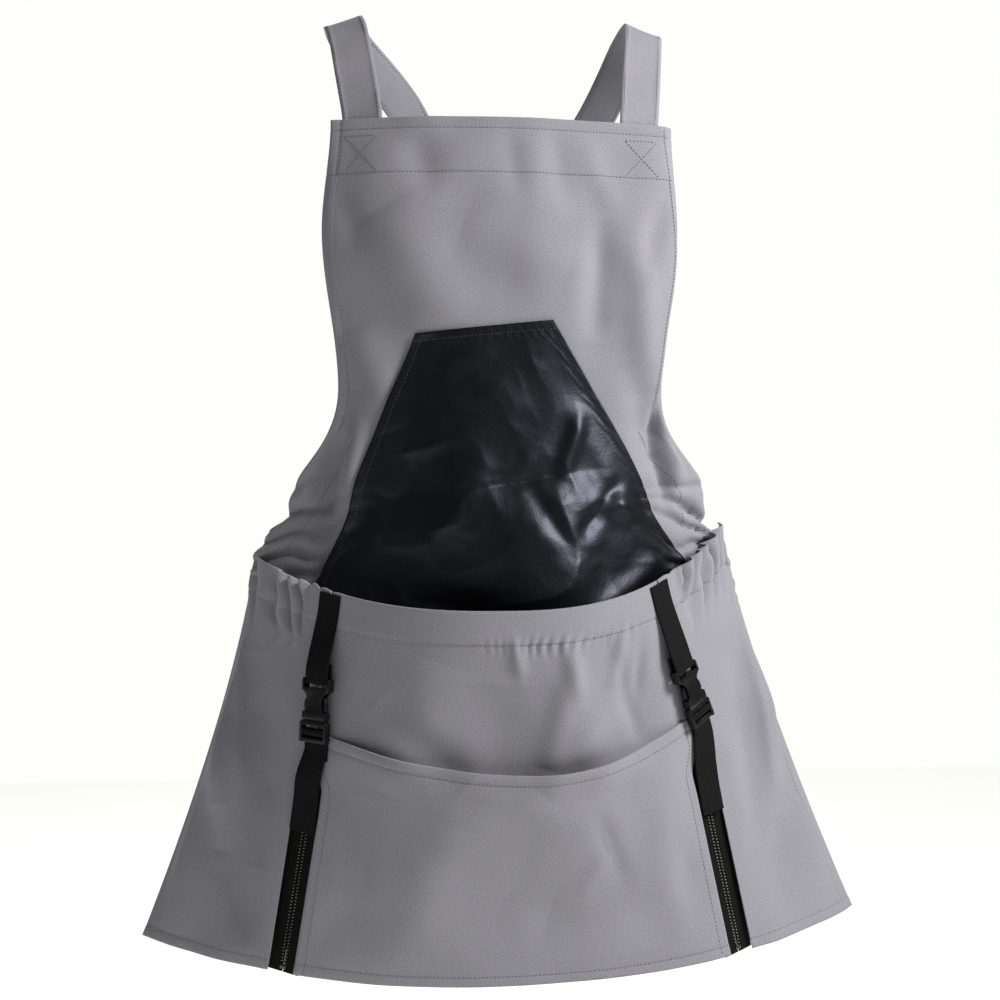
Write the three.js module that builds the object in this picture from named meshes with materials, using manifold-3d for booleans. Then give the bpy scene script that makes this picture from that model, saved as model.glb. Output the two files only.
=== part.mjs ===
// An artist's smock apron in its worn shape: a bib with crossed shoulder straps, a gathered
// catch-all pouch with a coated lining, a wide pocket, and a buckled strap and a zip on each side.
// Millimetres, +Z up, the wearer faces -Y. The origin lies midway between the two shoulder crests.
import * as THREE from "three";
import { mergeVertices } from "three/addons/utils/BufferGeometryUtils.js";
import Module from "manifold-3d";

const wasm = await Module();
wasm.setup();
const { lerp, smoothstep, degToRad } = THREE.MathUtils;

// ---------------------------------------------------------------- driving dimensions: cloth
const CLOTH = 1.0; // canvas thickness
const AIR = 0.8; // clearance between two sewn layers
const LAYER = CLOTH + AIR; // pitch of two sewn layers
const SEAM_GAP = 4; // depth left between the front and back layers at the side seams

// Stations down the body panel: height, half width, x of the middle, depth at the middle and at the
// edge, and how far the right edge sits above the level (the left edge sits as far below it).
const BODY_STATIONS = [
  { z: -111, half: 160, middle: 2, centre: -92, edge: -64, tilt: 0 }, // top of the bib
  { z: -218, half: 167, middle: 1, centre: -104, edge: -62, tilt: 0 }, // chest
  { z: -351, half: 152, middle: 1, centre: -101, edge: -62, tilt: 0 }, // waist
  { z: -396, half: 160, middle: 0, centre: -100, edge: -58, tilt: 2 }, // foot of the bib's sides
  { z: -500, half: 225, middle: -5, centre: -100, edge: -21, tilt: 15 }, // corners of the pouch mouth
];
const BACK_HEM = { z: -866, middle: 9, centre: -88, sag: 12 }; // back layer's hem
const BODY_WRAP = 2.2; // how late the body panel turns back towards the wearer's sides

// Skirt front, from the pouch lip (t = 0) to the hem (t = 1).
const CORNER_HALF = BODY_STATIONS[4].half; // half width of the pouch mouth
const HEM_HALF = 343;
const FLARE = 1.29; // above 1 the skirt spreads mostly towards its foot
const SIDE_Y = BODY_STATIONS[4].edge - SEAM_GAP; // depth of the side seams, front layer
const LIP = { z: -559, rise: 59, tilt: BODY_STATIONS[4].tilt, depth: 160 };
const HEM = { z: -890, rise: 24, tilt: 5, depth: 125 };
const FRONT_WRAP = 2.3;

// Bands and facings.
const BIB_FACING = 49; // height of the turned band behind the bib's top edge
const LIP_FACING = 0.09; // share of the skirt's length turned in at the pouch lip
const ELASTIC_SPAN = { from: 0.012, to: 0.078 }; // the elastic inside that turned band
const CASING_END = 0.93; // the elastic stops short of the side seam
const WING_BAND = 28; // width of the turned band on each wing
const WING_SPAN = { top: -404, foot: -494 };

// Pouch lining, a coated trapezium on the front of the body panel.
const LINING = {
  topLeft: { x: -81, z: -310 },
  topRight: { x: 44, z: -297 },
  footLeft: 12 - CORNER_HALF,
  footRight: CORNER_HALF + 31,
  foot: -650,
};

// Floor of the pouch, between the two layers of the skirt.
const FLOOR = { z: -846, rise: 26, sag: 8, width: 0.86, back: 3, front: 10 };

// Patch pocket across the lower front.
const POCKET = { corner: 0.382, sag: 0.066, belly: 15, inset: 1.2 };

// Shoulder straps.
const STRAP = { width: 38, thickness: 1.6 };
const STRAP_LAYER = (CLOTH + STRAP.thickness) / 2 + AIR; // from a cloth's middle to a strap's

// The webbing of the buckled straps; ease is the slack round a buckle's bar.
const WEBBING = { width: 25, thickness: 1.2, ease: 0.4 };

// Zips: both lie in the seam between the centre and side panels.
const ZIP = {
  topT: 0.57, // where the chain starts, as a share of the skirt front
  opening: WEBBING.width - 2, // visible width between the two panel edges
  slit: 0.1, // how far above the chain the two panels part, as a share of the skirt front
  behind: 4.4, // how far the tapes lie behind the cloth
  tapeOuter: WEBBING.width / 2 + 3.5,
  tapeInner: 3.3,
  tapeThickness: 0.8,
  tapeHead: 28, // tape above the chain
  pitch: 3,
  tooth: 1.2, // length of a tooth along the chain
  toothReach: 0.75, // how far a tooth crosses the middle
  spine: 0.9, // inner face of the moulded cord
  chainThickness: 2.4,
  stop: 4, // length of the bottom stop
};
const SLIDER = { half: 5.2, foot: -8, head: 5, plate: 1.2, throat: 1.6, bail: 1.1 };
const PULL = { half: 3.2, eye: 1.6, length: 17, thickness: 0.8, axisY: -3.9 };

// Side-release buckles, whose slots fit the webbing.
const SLOT_HALF = WEBBING.width / 2 + 0.25;
const BUCKLE = {
  slotHalf: SLOT_HALF,
  half: SLOT_HALF + 2.45,
  thickness: 7.6,
  mouthHalf: 12.8,
  cavityHalf: 11.2,
  cavity: 4.4,
  waistHalf: 8.4,
  bar: 1.7, // half thickness of the bars that webbing turns round
  socketBar: 33.2, // lower edge of the socket's bar
  ladderBar: -9, // upper edge of the plug's middle bar
  tongueHalf: 3,
  standOff: 8.6, // from the cloth to the buckle's middle plane
};
// Each side's seam and strap, as x at the lip, the zip's head and foot, and the ends of the buckle.
const SIDES = {
  left: { sign: -1, lipX: -157, zipX: -180, footX: -203, top: [-164, -627], foot: [-168, -676] },
  right: { sign: 1, lipX: 135, zipX: 186, footX: 219, top: [155, -616], foot: [175, -665] },
};

// ---------------------------------------------------------------- colours
const canvas = new THREE.MeshStandardMaterial({ color: 0x7b7a80, roughness: 0.9, side: THREE.DoubleSide });
const coated = new THREE.MeshStandardMaterial({ color: 0x0d0e13, roughness: 0.35 });
const webbingBlack = new THREE.MeshStandardMaterial({ color: 0x101110, roughness: 0.85 });
const moulded = new THREE.MeshStandardMaterial({ color: 0x17191a, roughness: 0.45 });
const toothGrey = new THREE.MeshStandardMaterial({ color: 0x8d9088, roughness: 0.4 });
const elasticWhite = new THREE.MeshStandardMaterial({ color: 0xdedcd4, roughness: 0.8 });
const paintedMetal = new THREE.MeshStandardMaterial({ color: 0x141415, roughness: 0.35, metalness: 0.6 });

const apron = new THREE.Group();
apron.name = "artist_smock_apron";

// ---------------------------------------------------------------- building blocks

/** A smooth curve through a station column, read at height z (stations run downwards). */
function stationAt(stations, key, z) {
  const last = stations.length - 1;
  let i = stations.findIndex((s) => z > s.z);
  if (i === 0) i = 1;
  if (i < 0) i = last;
  const a = stations[i - 1];
  const b = stations[i];
  const before = stations[Math.max(i - 2, 0)];
  const after = stations[Math.min(i + 1, last)];
  const span = b.z - a.z;
  const k = THREE.MathUtils.clamp((z - a.z) / span, 0, 1);
  const leaving = before === a ? 0 : ((b[key] - before[key]) / (b.z - before.z)) * span;
  const arriving = after === b ? 0 : ((after[key] - a[key]) / (after.z - a.z)) * span;
  const k2 = k * k;
  const k3 = k2 * k;
  return (
    (2 * k3 - 3 * k2 + 1) * a[key] +
    (k3 - 2 * k2 + k) * leaving +
    (3 * k2 - 2 * k3) * b[key] +
    (k3 - k2) * arriving
  );
}

/** Half width of the skirt at share t of its length, and the x of its middle there. */
const skirtHalf = (t) => CORNER_HALF + (HEM_HALF - CORNER_HALF) * Math.max(t, 0) ** FLARE;
const skirtMiddle = (t) => lerp(BODY_STATIONS[4].middle, BACK_HEM.middle, t);

const cornerZ = BODY_STATIONS[4].z;
const skirtShare = (z) => (cornerZ - z) / (cornerZ - BACK_HEM.z);

/** The body panel's half width, middle, depths and tilt at height z. */
function bodyAt(z) {
  if (z > cornerZ) {
    return {
      half: stationAt(BODY_STATIONS, "half", z),
      middle: stationAt(BODY_STATIONS, "middle", z),
      centre: stationAt(BODY_STATIONS, "centre", z),
      edge: stationAt(BODY_STATIONS, "edge", z),
      tilt: stationAt(BODY_STATIONS, "tilt", z),
    };
  }
  const t = skirtShare(z);
  const corner = BODY_STATIONS[4];
  return {
    half: skirtHalf(t),
    middle: skirtMiddle(t),
    centre: lerp(corner.centre, BACK_HEM.centre, t),
    edge: corner.edge,
    tilt: lerp(corner.tilt, HEM.tilt, t),
  };
}

/** A point of the body panel, offset to the back, at x and height z. */
function bodyPoint(x, z, back = 0) {
  const level = bodyAt(z);
  const at = bodyAt(z - (level.tilt * (x - level.middle)) / level.half);
  const s = (x - at.middle) / at.half;
  const y = at.centre + (at.edge - at.centre) * Math.min(Math.abs(s), 1.02) ** BODY_WRAP;
  const slope = ((at.edge - at.centre) * BODY_WRAP * Math.abs(s) ** (BODY_WRAP - 1) * Math.sign(s)) / at.half;
  const long = Math.hypot(1, slope);
  return new THREE.Vector3(x - (slope / long) * back, y + back / long, z);
}

const lipZ = (s) => LIP.z + LIP.rise * Math.abs(s) ** 2.6 + LIP.tilt * s * Math.abs(s);
const hemZ = (s) => HEM.z + HEM.rise * Math.abs(s) ** 2.2 + HEM.tilt * s;

/** A point of the skirt front at x, t from the lip to the hem, offset outwards from the cloth. */
function frontPoint(x, t, out = 0) {
  const half = skirtHalf(t);
  const s = THREE.MathUtils.clamp((x - skirtMiddle(t)) / half, -1, 1);
  const depth = lerp(LIP.depth, HEM.depth, t);
  const y = SIDE_Y - depth * (1 - Math.abs(s) ** FRONT_WRAP);
  const slope = (depth * FRONT_WRAP * Math.abs(s) ** (FRONT_WRAP - 1) * Math.sign(s)) / half;
  const long = Math.hypot(1, slope);
  return new THREE.Vector3(x + (slope / long) * out, y - out / long, lerp(lipZ(s), hemZ(s), t));
}

/** The share t at which the skirt front is at height z, at a given x. */
function shareAt(x, z) {
  let t = 0.4;
  for (let i = 0; i < 12; i++) {
    const s = (x - skirtMiddle(t)) / skirtHalf(t);
    t = (z - lipZ(s)) / (hemZ(s) - lipZ(s));
  }
  return t;
}

/** x of the line where the centre and side panels meet, and half the opening there. */
function seamX(side, t) {
  if (t < ZIP.topT) return lerp(side.lipX, side.zipX, t / ZIP.topT);
  return lerp(side.zipX, side.footX, (t - ZIP.topT) / (1 - ZIP.topT));
}
const slitEnd = ZIP.topT - ZIP.slit;
const seamHalf = (t) => lerp(0.5, ZIP.opening / 2, smoothstep(t, slitEnd - 0.04, slitEnd + 0.05));

/** A closed sheet: a box whose columns and rows follow point(u, v), v running downwards. */
function sheetGeometry(columns, rows, thickness, point) {
  const geometry = new THREE.BoxGeometry(1, 1, 1, columns, 1, rows);
  const place = geometry.attributes.position;
  const step = 1e-3;
  for (let i = 0; i < place.count; i++) {
    const u = place.getX(i) + 0.5;
    const v = 0.5 - place.getZ(i);
    const across = point(u + step, v).sub(point(u - step, v));
    const down = point(u, v + step).sub(point(u, v - step));
    const normal = across.cross(down).normalize();
    const at = point(u, v).addScaledVector(normal, place.getY(i) * thickness);
    place.setXYZ(i, at.x, at.y, at.z);
  }
  return closed(geometry);
}

/** A closed ribbon along stops of { at, across }, smooth between them. */
function ribbonGeometry(stops, width, thickness, steps) {
  const path = new THREE.CatmullRomCurve3(stops.map((s) => s.at), false, "centripetal");
  const widths = new THREE.CatmullRomCurve3(stops.map((s) => s.across), false, "centripetal");
  const geometry = new THREE.BoxGeometry(1, 1, 1, 1, 1, steps);
  const place = geometry.attributes.position;
  for (let i = 0; i < place.count; i++) {
    const k = place.getZ(i) + 0.5;
    const along = path.getTangent(k);
    const normal = along.clone().cross(widths.getPoint(k)).normalize();
    const across = normal.clone().cross(along).normalize();
    const at = path
      .getPoint(k)
      .addScaledVector(across, place.getX(i) * width)
      .addScaledVector(normal, place.getY(i) * thickness);
    place.setXYZ(i, at.x, at.y, at.z);
  }
  return closed(geometry);
}

/** Shared corners merged, so that the surface is one closed body. */
function closed(geometry) {
  const bare = geometry.clone();
  for (const name of ["normal", "uv"]) bare.deleteAttribute(name);
  const merged = mergeVertices(bare, 1e-4);
  merged.computeVertexNormals();
  return merged;
}

function solidOf(geometry) {
  const merged = closed(geometry);
  return new wasm.Manifold(
    new wasm.Mesh({
      numProp: 3,
      vertProperties: new Float32Array(merged.attributes.position.array),
      triVerts: new Uint32Array(merged.index.array),
    }),
  );
}

function geometryOf(solid) {
  const mesh = solid.getMesh();
  const geometry = new THREE.BufferGeometry();
  geometry.setAttribute("position", new THREE.BufferAttribute(mesh.vertProperties, 3));
  geometry.setIndex(new THREE.BufferAttribute(mesh.triVerts, 1));
  geometry.computeVertexNormals();
  return geometry;
}

/** A box from one corner to the other. */
function box([x0, y0, z0], [x1, y1, z1]) {
  const geometry = new THREE.BoxGeometry(x1 - x0, y1 - y0, z1 - z0);
  return geometry.translate((x0 + x1) / 2, (y0 + y1) / 2, (z0 + z1) / 2);
}

/** A flat outline drawn in x and z, thickened from y = near to y = far. */
function plate(shape, near, far, curveSegments = 5) {
  const geometry = new THREE.ExtrudeGeometry(shape, { depth: far - near, bevelEnabled: false, curveSegments });
  return geometry.rotateX(Math.PI / 2).translate(0, far, 0);
}

function addMesh(parent, name, geometry, material) {
  const mesh = new THREE.Mesh(geometry, material);
  mesh.name = name;
  parent.add(mesh);
  return mesh;
}

/** A group whose X runs across, Y into the apron and Z up the line from foot to top. */
function lineFrame(top, foot, outward) {
  const up = top.clone().sub(foot).normalize();
  const across = outward.clone().negate().cross(up).normalize();
  const back = up.clone().cross(across);
  const group = new THREE.Group();
  group.matrix.makeBasis(across, back, up);
  group.matrix.setPosition(top);
  group.matrix.decompose(group.position, group.quaternion, group.scale);
  group.updateMatrix();
  apron.add(group);
  return group;
}

/** The direction in which the skirt front faces at x, t. */
const facing = (x, t) => frontPoint(x, t, 1).sub(frontPoint(x, t, 0)).normalize();

// ---------------------------------------------------------------- cloth panels

/** The bib and the skirt's back layer, cut as one piece. */
function addBodyPanel() {
  const top = BODY_STATIONS[0].z;
  const point = (u, v) => {
    const s = 2 * u - 1;
    const z = lerp(top, BACK_HEM.z, v);
    const at = bodyAt(z);
    const p = bodyPoint(at.middle + s * at.half, z + at.tilt * s);
    p.z -= BACK_HEM.sag * (1 - s * s) * smoothstep(v, 0.5, 1);
    return p;
  };
  addMesh(apron, "body_panel", sheetGeometry(14, 22, CLOTH, point), canvas);
}

/** The band turned in behind the bib's top edge, with the strap ends between the layers. */
function addBibFacing() {
  const top = BODY_STATIONS[0].z;
  const point = (u, v) => {
    const z = top - 0.5 - BIB_FACING * v;
    const at = bodyAt(z);
    return bodyPoint(at.middle + (2 * u - 1) * (at.half - 1), z, 2 * STRAP_LAYER);
  };
  addMesh(apron, "bib_facing", sheetGeometry(14, 2, CLOTH, point), canvas);
}

/** The coated lining, sewn to the front of the body panel inside the pouch. */
function addLining() {
  const point = (u, v) => {
    const left = lerp(LINING.topLeft.x, LINING.footLeft, v);
    const right = lerp(LINING.topRight.x, LINING.footRight, v);
    const top = lerp(LINING.topLeft.z, LINING.topRight.z, u);
    return bodyPoint(lerp(left, right, u), lerp(top, LINING.foot, v), -LAYER - AIR);
  };
  addMesh(apron, "pouch_lining", sheetGeometry(16, 12, CLOTH * 0.8, point), coated);
}

/** The floor that closes the pouch above the hem, clear of the zips. */
function addPouchFloor() {
  const point = (u, v) => {
    const s = (2 * u - 1) * FLOOR.width;
    const z = FLOOR.z + FLOOR.rise * s * s;
    const x = bodyAt(z).middle + s * bodyAt(z).half;
    const back = bodyPoint(x, z, -FLOOR.back);
    const front = frontPoint(x, shareAt(x, z), -FLOOR.front);
    const p = back.lerp(front, v);
    p.z -= FLOOR.sag * Math.sin(Math.PI * v) * (1 - s * s);
    return p;
  };
  addMesh(apron, "pouch_floor", sheetGeometry(12, 3, CLOTH, point), canvas);
}

/** The front of the pouch and skirt, between the two zips. */
function addCentrePanel() {
  const edges = (t) => [seamX(SIDES.left, t) + seamHalf(t), seamX(SIDES.right, t) - seamHalf(t)];
  const point = (u, t) => frontPoint(lerp(...edges(t), u), t);
  addMesh(apron, "front_centre_panel", sheetGeometry(10, 14, CLOTH, point), canvas);
  const facingPoint = (u, v) => {
    const t = 0.003 + LIP_FACING * v;
    const [left, right] = edges(t);
    return frontPoint(lerp(left + 1, right - 1, u), t, -LAYER);
  };
  addMesh(apron, "lip_facing_centre", sheetGeometry(10, 2, CLOTH, facingPoint), canvas);
}

/** A side front panel, with the elastic and the facing that make its gathering casing. */
function addSidePanel(name, side) {
  const outer = (t) => skirtMiddle(t) + side.sign * skirtHalf(t);
  const inner = (t) => seamX(side, t) + side.sign * seamHalf(t);
  const span = side.sign < 0 ? [outer, inner] : [inner, outer];
  const point = (u, t) => frontPoint(lerp(span[0](t), span[1](t), u), t);
  addMesh(apron, `front_side_panel_${name}`, sheetGeometry(6, 14, CLOTH, point), canvas);

  const band = (from, to, back) => (u, v) => {
    const t = lerp(from, to, v);
    const end = skirtMiddle(t) + side.sign * CASING_END * skirtHalf(t);
    const start = inner(t) + side.sign * 2;
    const ends = side.sign < 0 ? [end, start] : [start, end];
    return frontPoint(lerp(ends[0], ends[1], u), t, -back);
  };
  const elastic = band(ELASTIC_SPAN.from, ELASTIC_SPAN.to, LAYER);
  const casing = band(0.003, LIP_FACING, 2 * LAYER);
  addMesh(apron, `mouth_elastic_${name}`, sheetGeometry(5, 2, CLOTH, elastic), elasticWhite);
  addMesh(apron, `casing_facing_${name}`, sheetGeometry(5, 2, CLOTH, casing), canvas);
}

/** The turned band and its elastic on a wing, where the body panel runs out to the pouch corner. */
function addWingBand(name, side) {
  const band = (inset, width, back) => (u, v) => {
    const z = lerp(WING_SPAN.top, WING_SPAN.foot, v);
    const at = bodyAt(z);
    const near = at.half - inset - width;
    const far = at.half - inset;
    const x = side.sign < 0 ? lerp(-far, -near, u) : lerp(near, far, u);
    return bodyPoint(at.middle + x, z + (at.tilt * x) / at.half, back);
  };
  const elastic = band(4, WING_BAND - 8, LAYER + AIR);
  const facingBand = band(1, WING_BAND, 2 * (LAYER + AIR));
  addMesh(apron, `wing_elastic_${name}`, sheetGeometry(2, 4, CLOTH, elastic), elasticWhite);
  addMesh(apron, `wing_facing_${name}`, sheetGeometry(2, 6, CLOTH, facingBand), canvas);
}

/** The wide patch pocket, whose top edge hangs open. */
function addPocket() {
  const point = (u, v) => {
    const open = 1 - Math.abs(2 * u - 1) ** 2.2;
    const t = lerp(POCKET.corner + POCKET.sag * open, 1, v);
    const left = seamX(SIDES.left, t) + seamHalf(t) + POCKET.inset;
    const right = seamX(SIDES.right, t) - seamHalf(t) - POCKET.inset;
    const belly = POCKET.belly * open * (1 - Math.min(v * 1.15, 1)) ** 1.4;
    return frontPoint(lerp(left, right, u), t, LAYER + belly);
  };
  addMesh(apron, "lower_pocket", sheetGeometry(10, 9, CLOTH, point), canvas);
}

// ---------------------------------------------------------------- shoulder straps

/** A strap from the bib over the shoulder, across the back and on to the opposite wing. */
function addShoulderStrap(name, side, backX, crossOut) {
  const hand = side.sign;
  const v = (x, y, z) => new THREE.Vector3(hand * x, y, z);
  const free = (at, across) => ({ at: v(...at), across: v(...across).multiplyScalar(hand) });
  const onBib = (z) => {
    const x = hand * 130;
    const across = bodyPoint(x + STRAP.width / 2, z).sub(bodyPoint(x - STRAP.width / 2, z));
    return { at: bodyPoint(x, z, STRAP_LAYER + 0.2), across: across.normalize() };
  };
  const cornerTilt = -hand * BODY_STATIONS[4].tilt;
  const onWing = (inset, z) => {
    const x = bodyAt(z).middle - hand * (bodyAt(z).half - inset);
    const across = bodyPoint(x, z - STRAP.width / 2).sub(bodyPoint(x, z + STRAP.width / 2));
    across.normalize().multiplyScalar(hand);
    return { at: bodyPoint(x, z + cornerTilt, 2 * (LAYER + AIR) + STRAP_LAYER + AIR), across };
  };
  const stops = [
    ...[-157, -145, -133, -121, -114, -108].map(onBib),
    free([135, -58, -66], [1, 0.15, -0.1]),
    free([143, -27, -14], [0.96, 0.08, -0.28]),
    free([147, 0, 0], [0.94, 0, -0.335]),
    free([140, 26, -10], [0.88, -0.1, -0.45]),
    free([backX, 70, -73], [0.78, -0.15, -0.6]),
    free([8, 108 + crossOut, -232], [0.74, 0, -0.66]),
    free([-128, 88, -404], [0.55, 0.25, -0.78]),
    free([-188, 52, -473 + cornerTilt * 0.6], [0.2, 0.3, -0.92]),
    free([-220, 16, -495 + cornerTilt], [0, 0.15, -1]),
    onWing(12, -500),
    onWing(24, -500),
    onWing(36, -500),
  ];
  const geometry = ribbonGeometry(stops, STRAP.width, STRAP.thickness, 56);
  addMesh(apron, `shoulder_strap_${name}`, geometry, canvas);
}

// ---------------------------------------------------------------- zips

/** One row of interlocking teeth on its moulded cord, drawn as a comb. */
function toothRow(hand, length) {
  const shape = new THREE.Shape();
  const outside = ZIP.tapeInner - 0.3;
  const phase = hand > 0 ? 0 : ZIP.pitch / 2;
  const foot = -length + ZIP.stop + 0.4;
  shape.moveTo(hand * outside, foot);
  shape.lineTo(hand * ZIP.spine, foot);
  const count = Math.floor((-foot - 1 - phase) / ZIP.pitch);
  for (let i = 0; i < count; i++) {
    const z = foot + 0.6 + phase + i * ZIP.pitch;
    shape.lineTo(hand * ZIP.spine, z);
    shape.lineTo(-hand * ZIP.toothReach, z);
    shape.lineTo(-hand * ZIP.toothReach, z + ZIP.tooth);
    shape.lineTo(hand * ZIP.spine, z + ZIP.tooth);
  }
  shape.lineTo(hand * ZIP.spine, 0);
  shape.lineTo(hand * outside, 0);
  shape.closePath();
  return plate(shape, -ZIP.chainThickness / 2, ZIP.chainThickness / 2);
}

/** The slider: two plates joined by a bridge above the teeth, with a bail for the pull. */
function sliderGeometry() {
  const outline = new THREE.Shape();
  outline.moveTo(-SLIDER.half + 0.7, SLIDER.foot);
  outline.lineTo(SLIDER.half - 0.7, SLIDER.foot);
  outline.lineTo(SLIDER.half, SLIDER.head - 5);
  outline.lineTo(SLIDER.half - 0.4, SLIDER.head - 1);
  outline.quadraticCurveTo(SLIDER.half - 1, SLIDER.head, SLIDER.half - 2, SLIDER.head);
  outline.lineTo(-SLIDER.half + 2, SLIDER.head);
  outline.quadraticCurveTo(-SLIDER.half + 1, SLIDER.head, -SLIDER.half + 0.4, SLIDER.head - 1);
  outline.lineTo(-SLIDER.half, SLIDER.head - 5);
  outline.closePath();
  const far = SLIDER.throat + SLIDER.plate;
  let solid = solidOf(plate(outline, -far, -SLIDER.throat));
  solid = solid.add(solidOf(plate(outline, SLIDER.throat, far)));
  solid = solid.add(solidOf(box([-1, -SLIDER.throat - 0.2, 1.2], [1, SLIDER.throat + 0.2, 4.4])));
  for (const x of [-1, 1]) {
    for (const y of [-1, 1]) {
      const xs = [x * 3.7, x * (SLIDER.half - 0.7)].sort((a, b) => a - b);
      const ys = [y * 0.8, y * (SLIDER.throat + 0.2)].sort((a, b) => a - b);
      solid = solid.add(solidOf(box([xs[0], ys[0], SLIDER.foot], [xs[1], ys[1], 1])));
    }
  }
  const crown = PULL.axisY - 1.9;
  solid = solid.add(solidOf(box([-SLIDER.bail, crown, -3.2], [SLIDER.bail, -far + 0.2, 3.2])));
  solid = solid.subtract(solidOf(box([-2, crown + 1, -2], [2, -far, 2])));
  return geometryOf(solid);
}

/** The pull tab, hanging by its eye from the bail. */
function pullGeometry() {
  const outline = new THREE.Shape();
  outline.moveTo(-PULL.half, -0.4);
  outline.lineTo(PULL.half, -0.4);
  outline.lineTo(PULL.half, 7);
  outline.lineTo(PULL.half - 0.8, 9);
  outline.lineTo(PULL.half - 0.4, PULL.length - 3);
  outline.quadraticCurveTo(PULL.half - 0.4, PULL.length, 0, PULL.length);
  outline.quadraticCurveTo(-PULL.half + 0.4, PULL.length, -PULL.half + 0.4, PULL.length - 3);
  outline.lineTo(-PULL.half + 0.8, 9);
  outline.lineTo(-PULL.half, 7);
  outline.closePath();
  const eye = new THREE.Path();
  eye.moveTo(-PULL.eye, 0.4);
  eye.lineTo(-PULL.eye, 6);
  eye.lineTo(PULL.eye, 6);
  eye.lineTo(PULL.eye, 0.4);
  eye.closePath();
  outline.holes.push(eye);
  const tab = plate(outline, -PULL.thickness / 2, PULL.thickness / 2);
  return tab.rotateX(Math.PI).translate(0, PULL.axisY, 0);
}

/** A zip in its seam: two tapes, two rows of teeth, a bottom stop, a slider and its pull. */
function addZip(name, side) {
  const head = frontPoint(side.zipX, ZIP.topT, -ZIP.behind);
  const foot = frontPoint(side.footX, 1, -ZIP.behind);
  const outward = facing((side.zipX + side.footX) / 2, (ZIP.topT + 1) / 2);
  const frame = lineFrame(head, foot, outward);
  const length = head.distanceTo(foot) - 1.5;
  for (const hand of [-1, 1]) {
    const part = hand === side.sign ? "outer" : "inner";
    const xs = [hand * ZIP.tapeInner, hand * ZIP.tapeOuter].sort((a, b) => a - b);
    const half = ZIP.tapeThickness / 2;
    const tape = box([xs[0], -half, -length], [xs[1], half, ZIP.tapeHead]);
    addMesh(frame, `zip_tape_${name}_${part}`, tape, webbingBlack);
    addMesh(frame, `zip_teeth_${name}_${part}`, toothRow(hand, length), toothGrey);
  }
  const wide = ZIP.tapeInner - 0.3;
  const thick = ZIP.chainThickness / 2;
  const stop = box([-wide, -thick, -length], [wide, thick, -length + ZIP.stop]);
  addMesh(frame, `zip_bottom_stop_${name}`, stop, toothGrey);
  addMesh(frame, `zip_slider_${name}`, sliderGeometry(), paintedMetal);
  addMesh(frame, `zip_pull_${name}`, pullGeometry(), paintedMetal);
  return frame;
}

// ---------------------------------------------------------------- buckles and webbing

/** The upper half: a flat socket with a window on each side and a bar for the webbing. */
function socketGeometry() {
  const b = BUCKLE;
  const outline = new THREE.Shape();
  outline.moveTo(-b.mouthHalf, 0);
  outline.lineTo(b.mouthHalf, 0);
  outline.lineTo(b.mouthHalf, 6.6);
  outline.quadraticCurveTo(b.waistHalf + 0.4, 8, b.waistHalf, 11.5);
  outline.lineTo(b.waistHalf, 18);
  outline.quadraticCurveTo(b.waistHalf + 0.6, 23, b.half, 26);
  outline.lineTo(b.half, 34);
  outline.quadraticCurveTo(b.half, 37, b.half - 3, 37);
  outline.lineTo(-b.half + 3, 37);
  outline.quadraticCurveTo(-b.half, 37, -b.half, 34);
  outline.lineTo(-b.half, 26);
  outline.quadraticCurveTo(-b.waistHalf - 0.6, 23, -b.waistHalf, 18);
  outline.lineTo(-b.waistHalf, 11.5);
  outline.quadraticCurveTo(-b.waistHalf - 0.4, 8, -b.mouthHalf, 6.6);
  outline.closePath();
  const thick = b.thickness / 2;
  let solid = solidOf(plate(outline, -thick, thick));
  solid = solid.subtract(solidOf(box([-b.cavityHalf, -b.cavity / 2, -1], [b.cavityHalf, b.cavity / 2, 23.5])));
  solid = solid.subtract(solidOf(box([-b.slotHalf, -thick - 1, 28.2], [b.slotHalf, thick + 1, b.socketBar])));
  for (const y of [-1, 1]) {
    const ys = [y * b.bar, y * (thick + 1)].sort((p, q) => p - q);
    solid = solid.subtract(solidOf(box([-b.slotHalf, ys[0], 33], [b.slotHalf, ys[1], 38])));
  }
  return geometryOf(solid);
}

/** The lower half: a guide tongue on a base whose ladder of bars grips the webbing. */
function plugGeometry() {
  const b = BUCKLE;
  const outline = new THREE.Shape();
  outline.moveTo(-b.half + 2, -20.5);
  outline.lineTo(b.half - 2, -20.5);
  outline.quadraticCurveTo(b.half, -20.5, b.half, -18);
  outline.lineTo(b.half, -3);
  outline.lineTo(b.mouthHalf, -0.6);
  outline.lineTo(-b.mouthHalf, -0.6);
  outline.lineTo(-b.half, -3);
  outline.lineTo(-b.half, -18);
  outline.quadraticCurveTo(-b.half, -20.5, -b.half + 2, -20.5);
  const thick = b.thickness / 2 - 0.4;
  let solid = solidOf(plate(outline, -thick, thick));
  for (const [low, high] of [[b.ladderBar, -5], [-16.4, -12.4]]) {
    solid = solid.subtract(solidOf(box([-b.slotHalf, -thick - 1, low], [b.slotHalf, thick + 1, high])));
  }
  for (const y of [-1, 1]) {
    const ys = [y * b.bar, y * (thick + 1)].sort((p, q) => p - q);
    solid = solid.subtract(solidOf(box([-b.slotHalf, ys[0], -21], [b.slotHalf, ys[1], -5.5])));
  }
  solid = solid.add(solidOf(box([-b.tongueHalf, -1.9, -1.5], [b.tongueHalf, 1.9, 18])));
  return geometryOf(solid);
}

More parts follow.
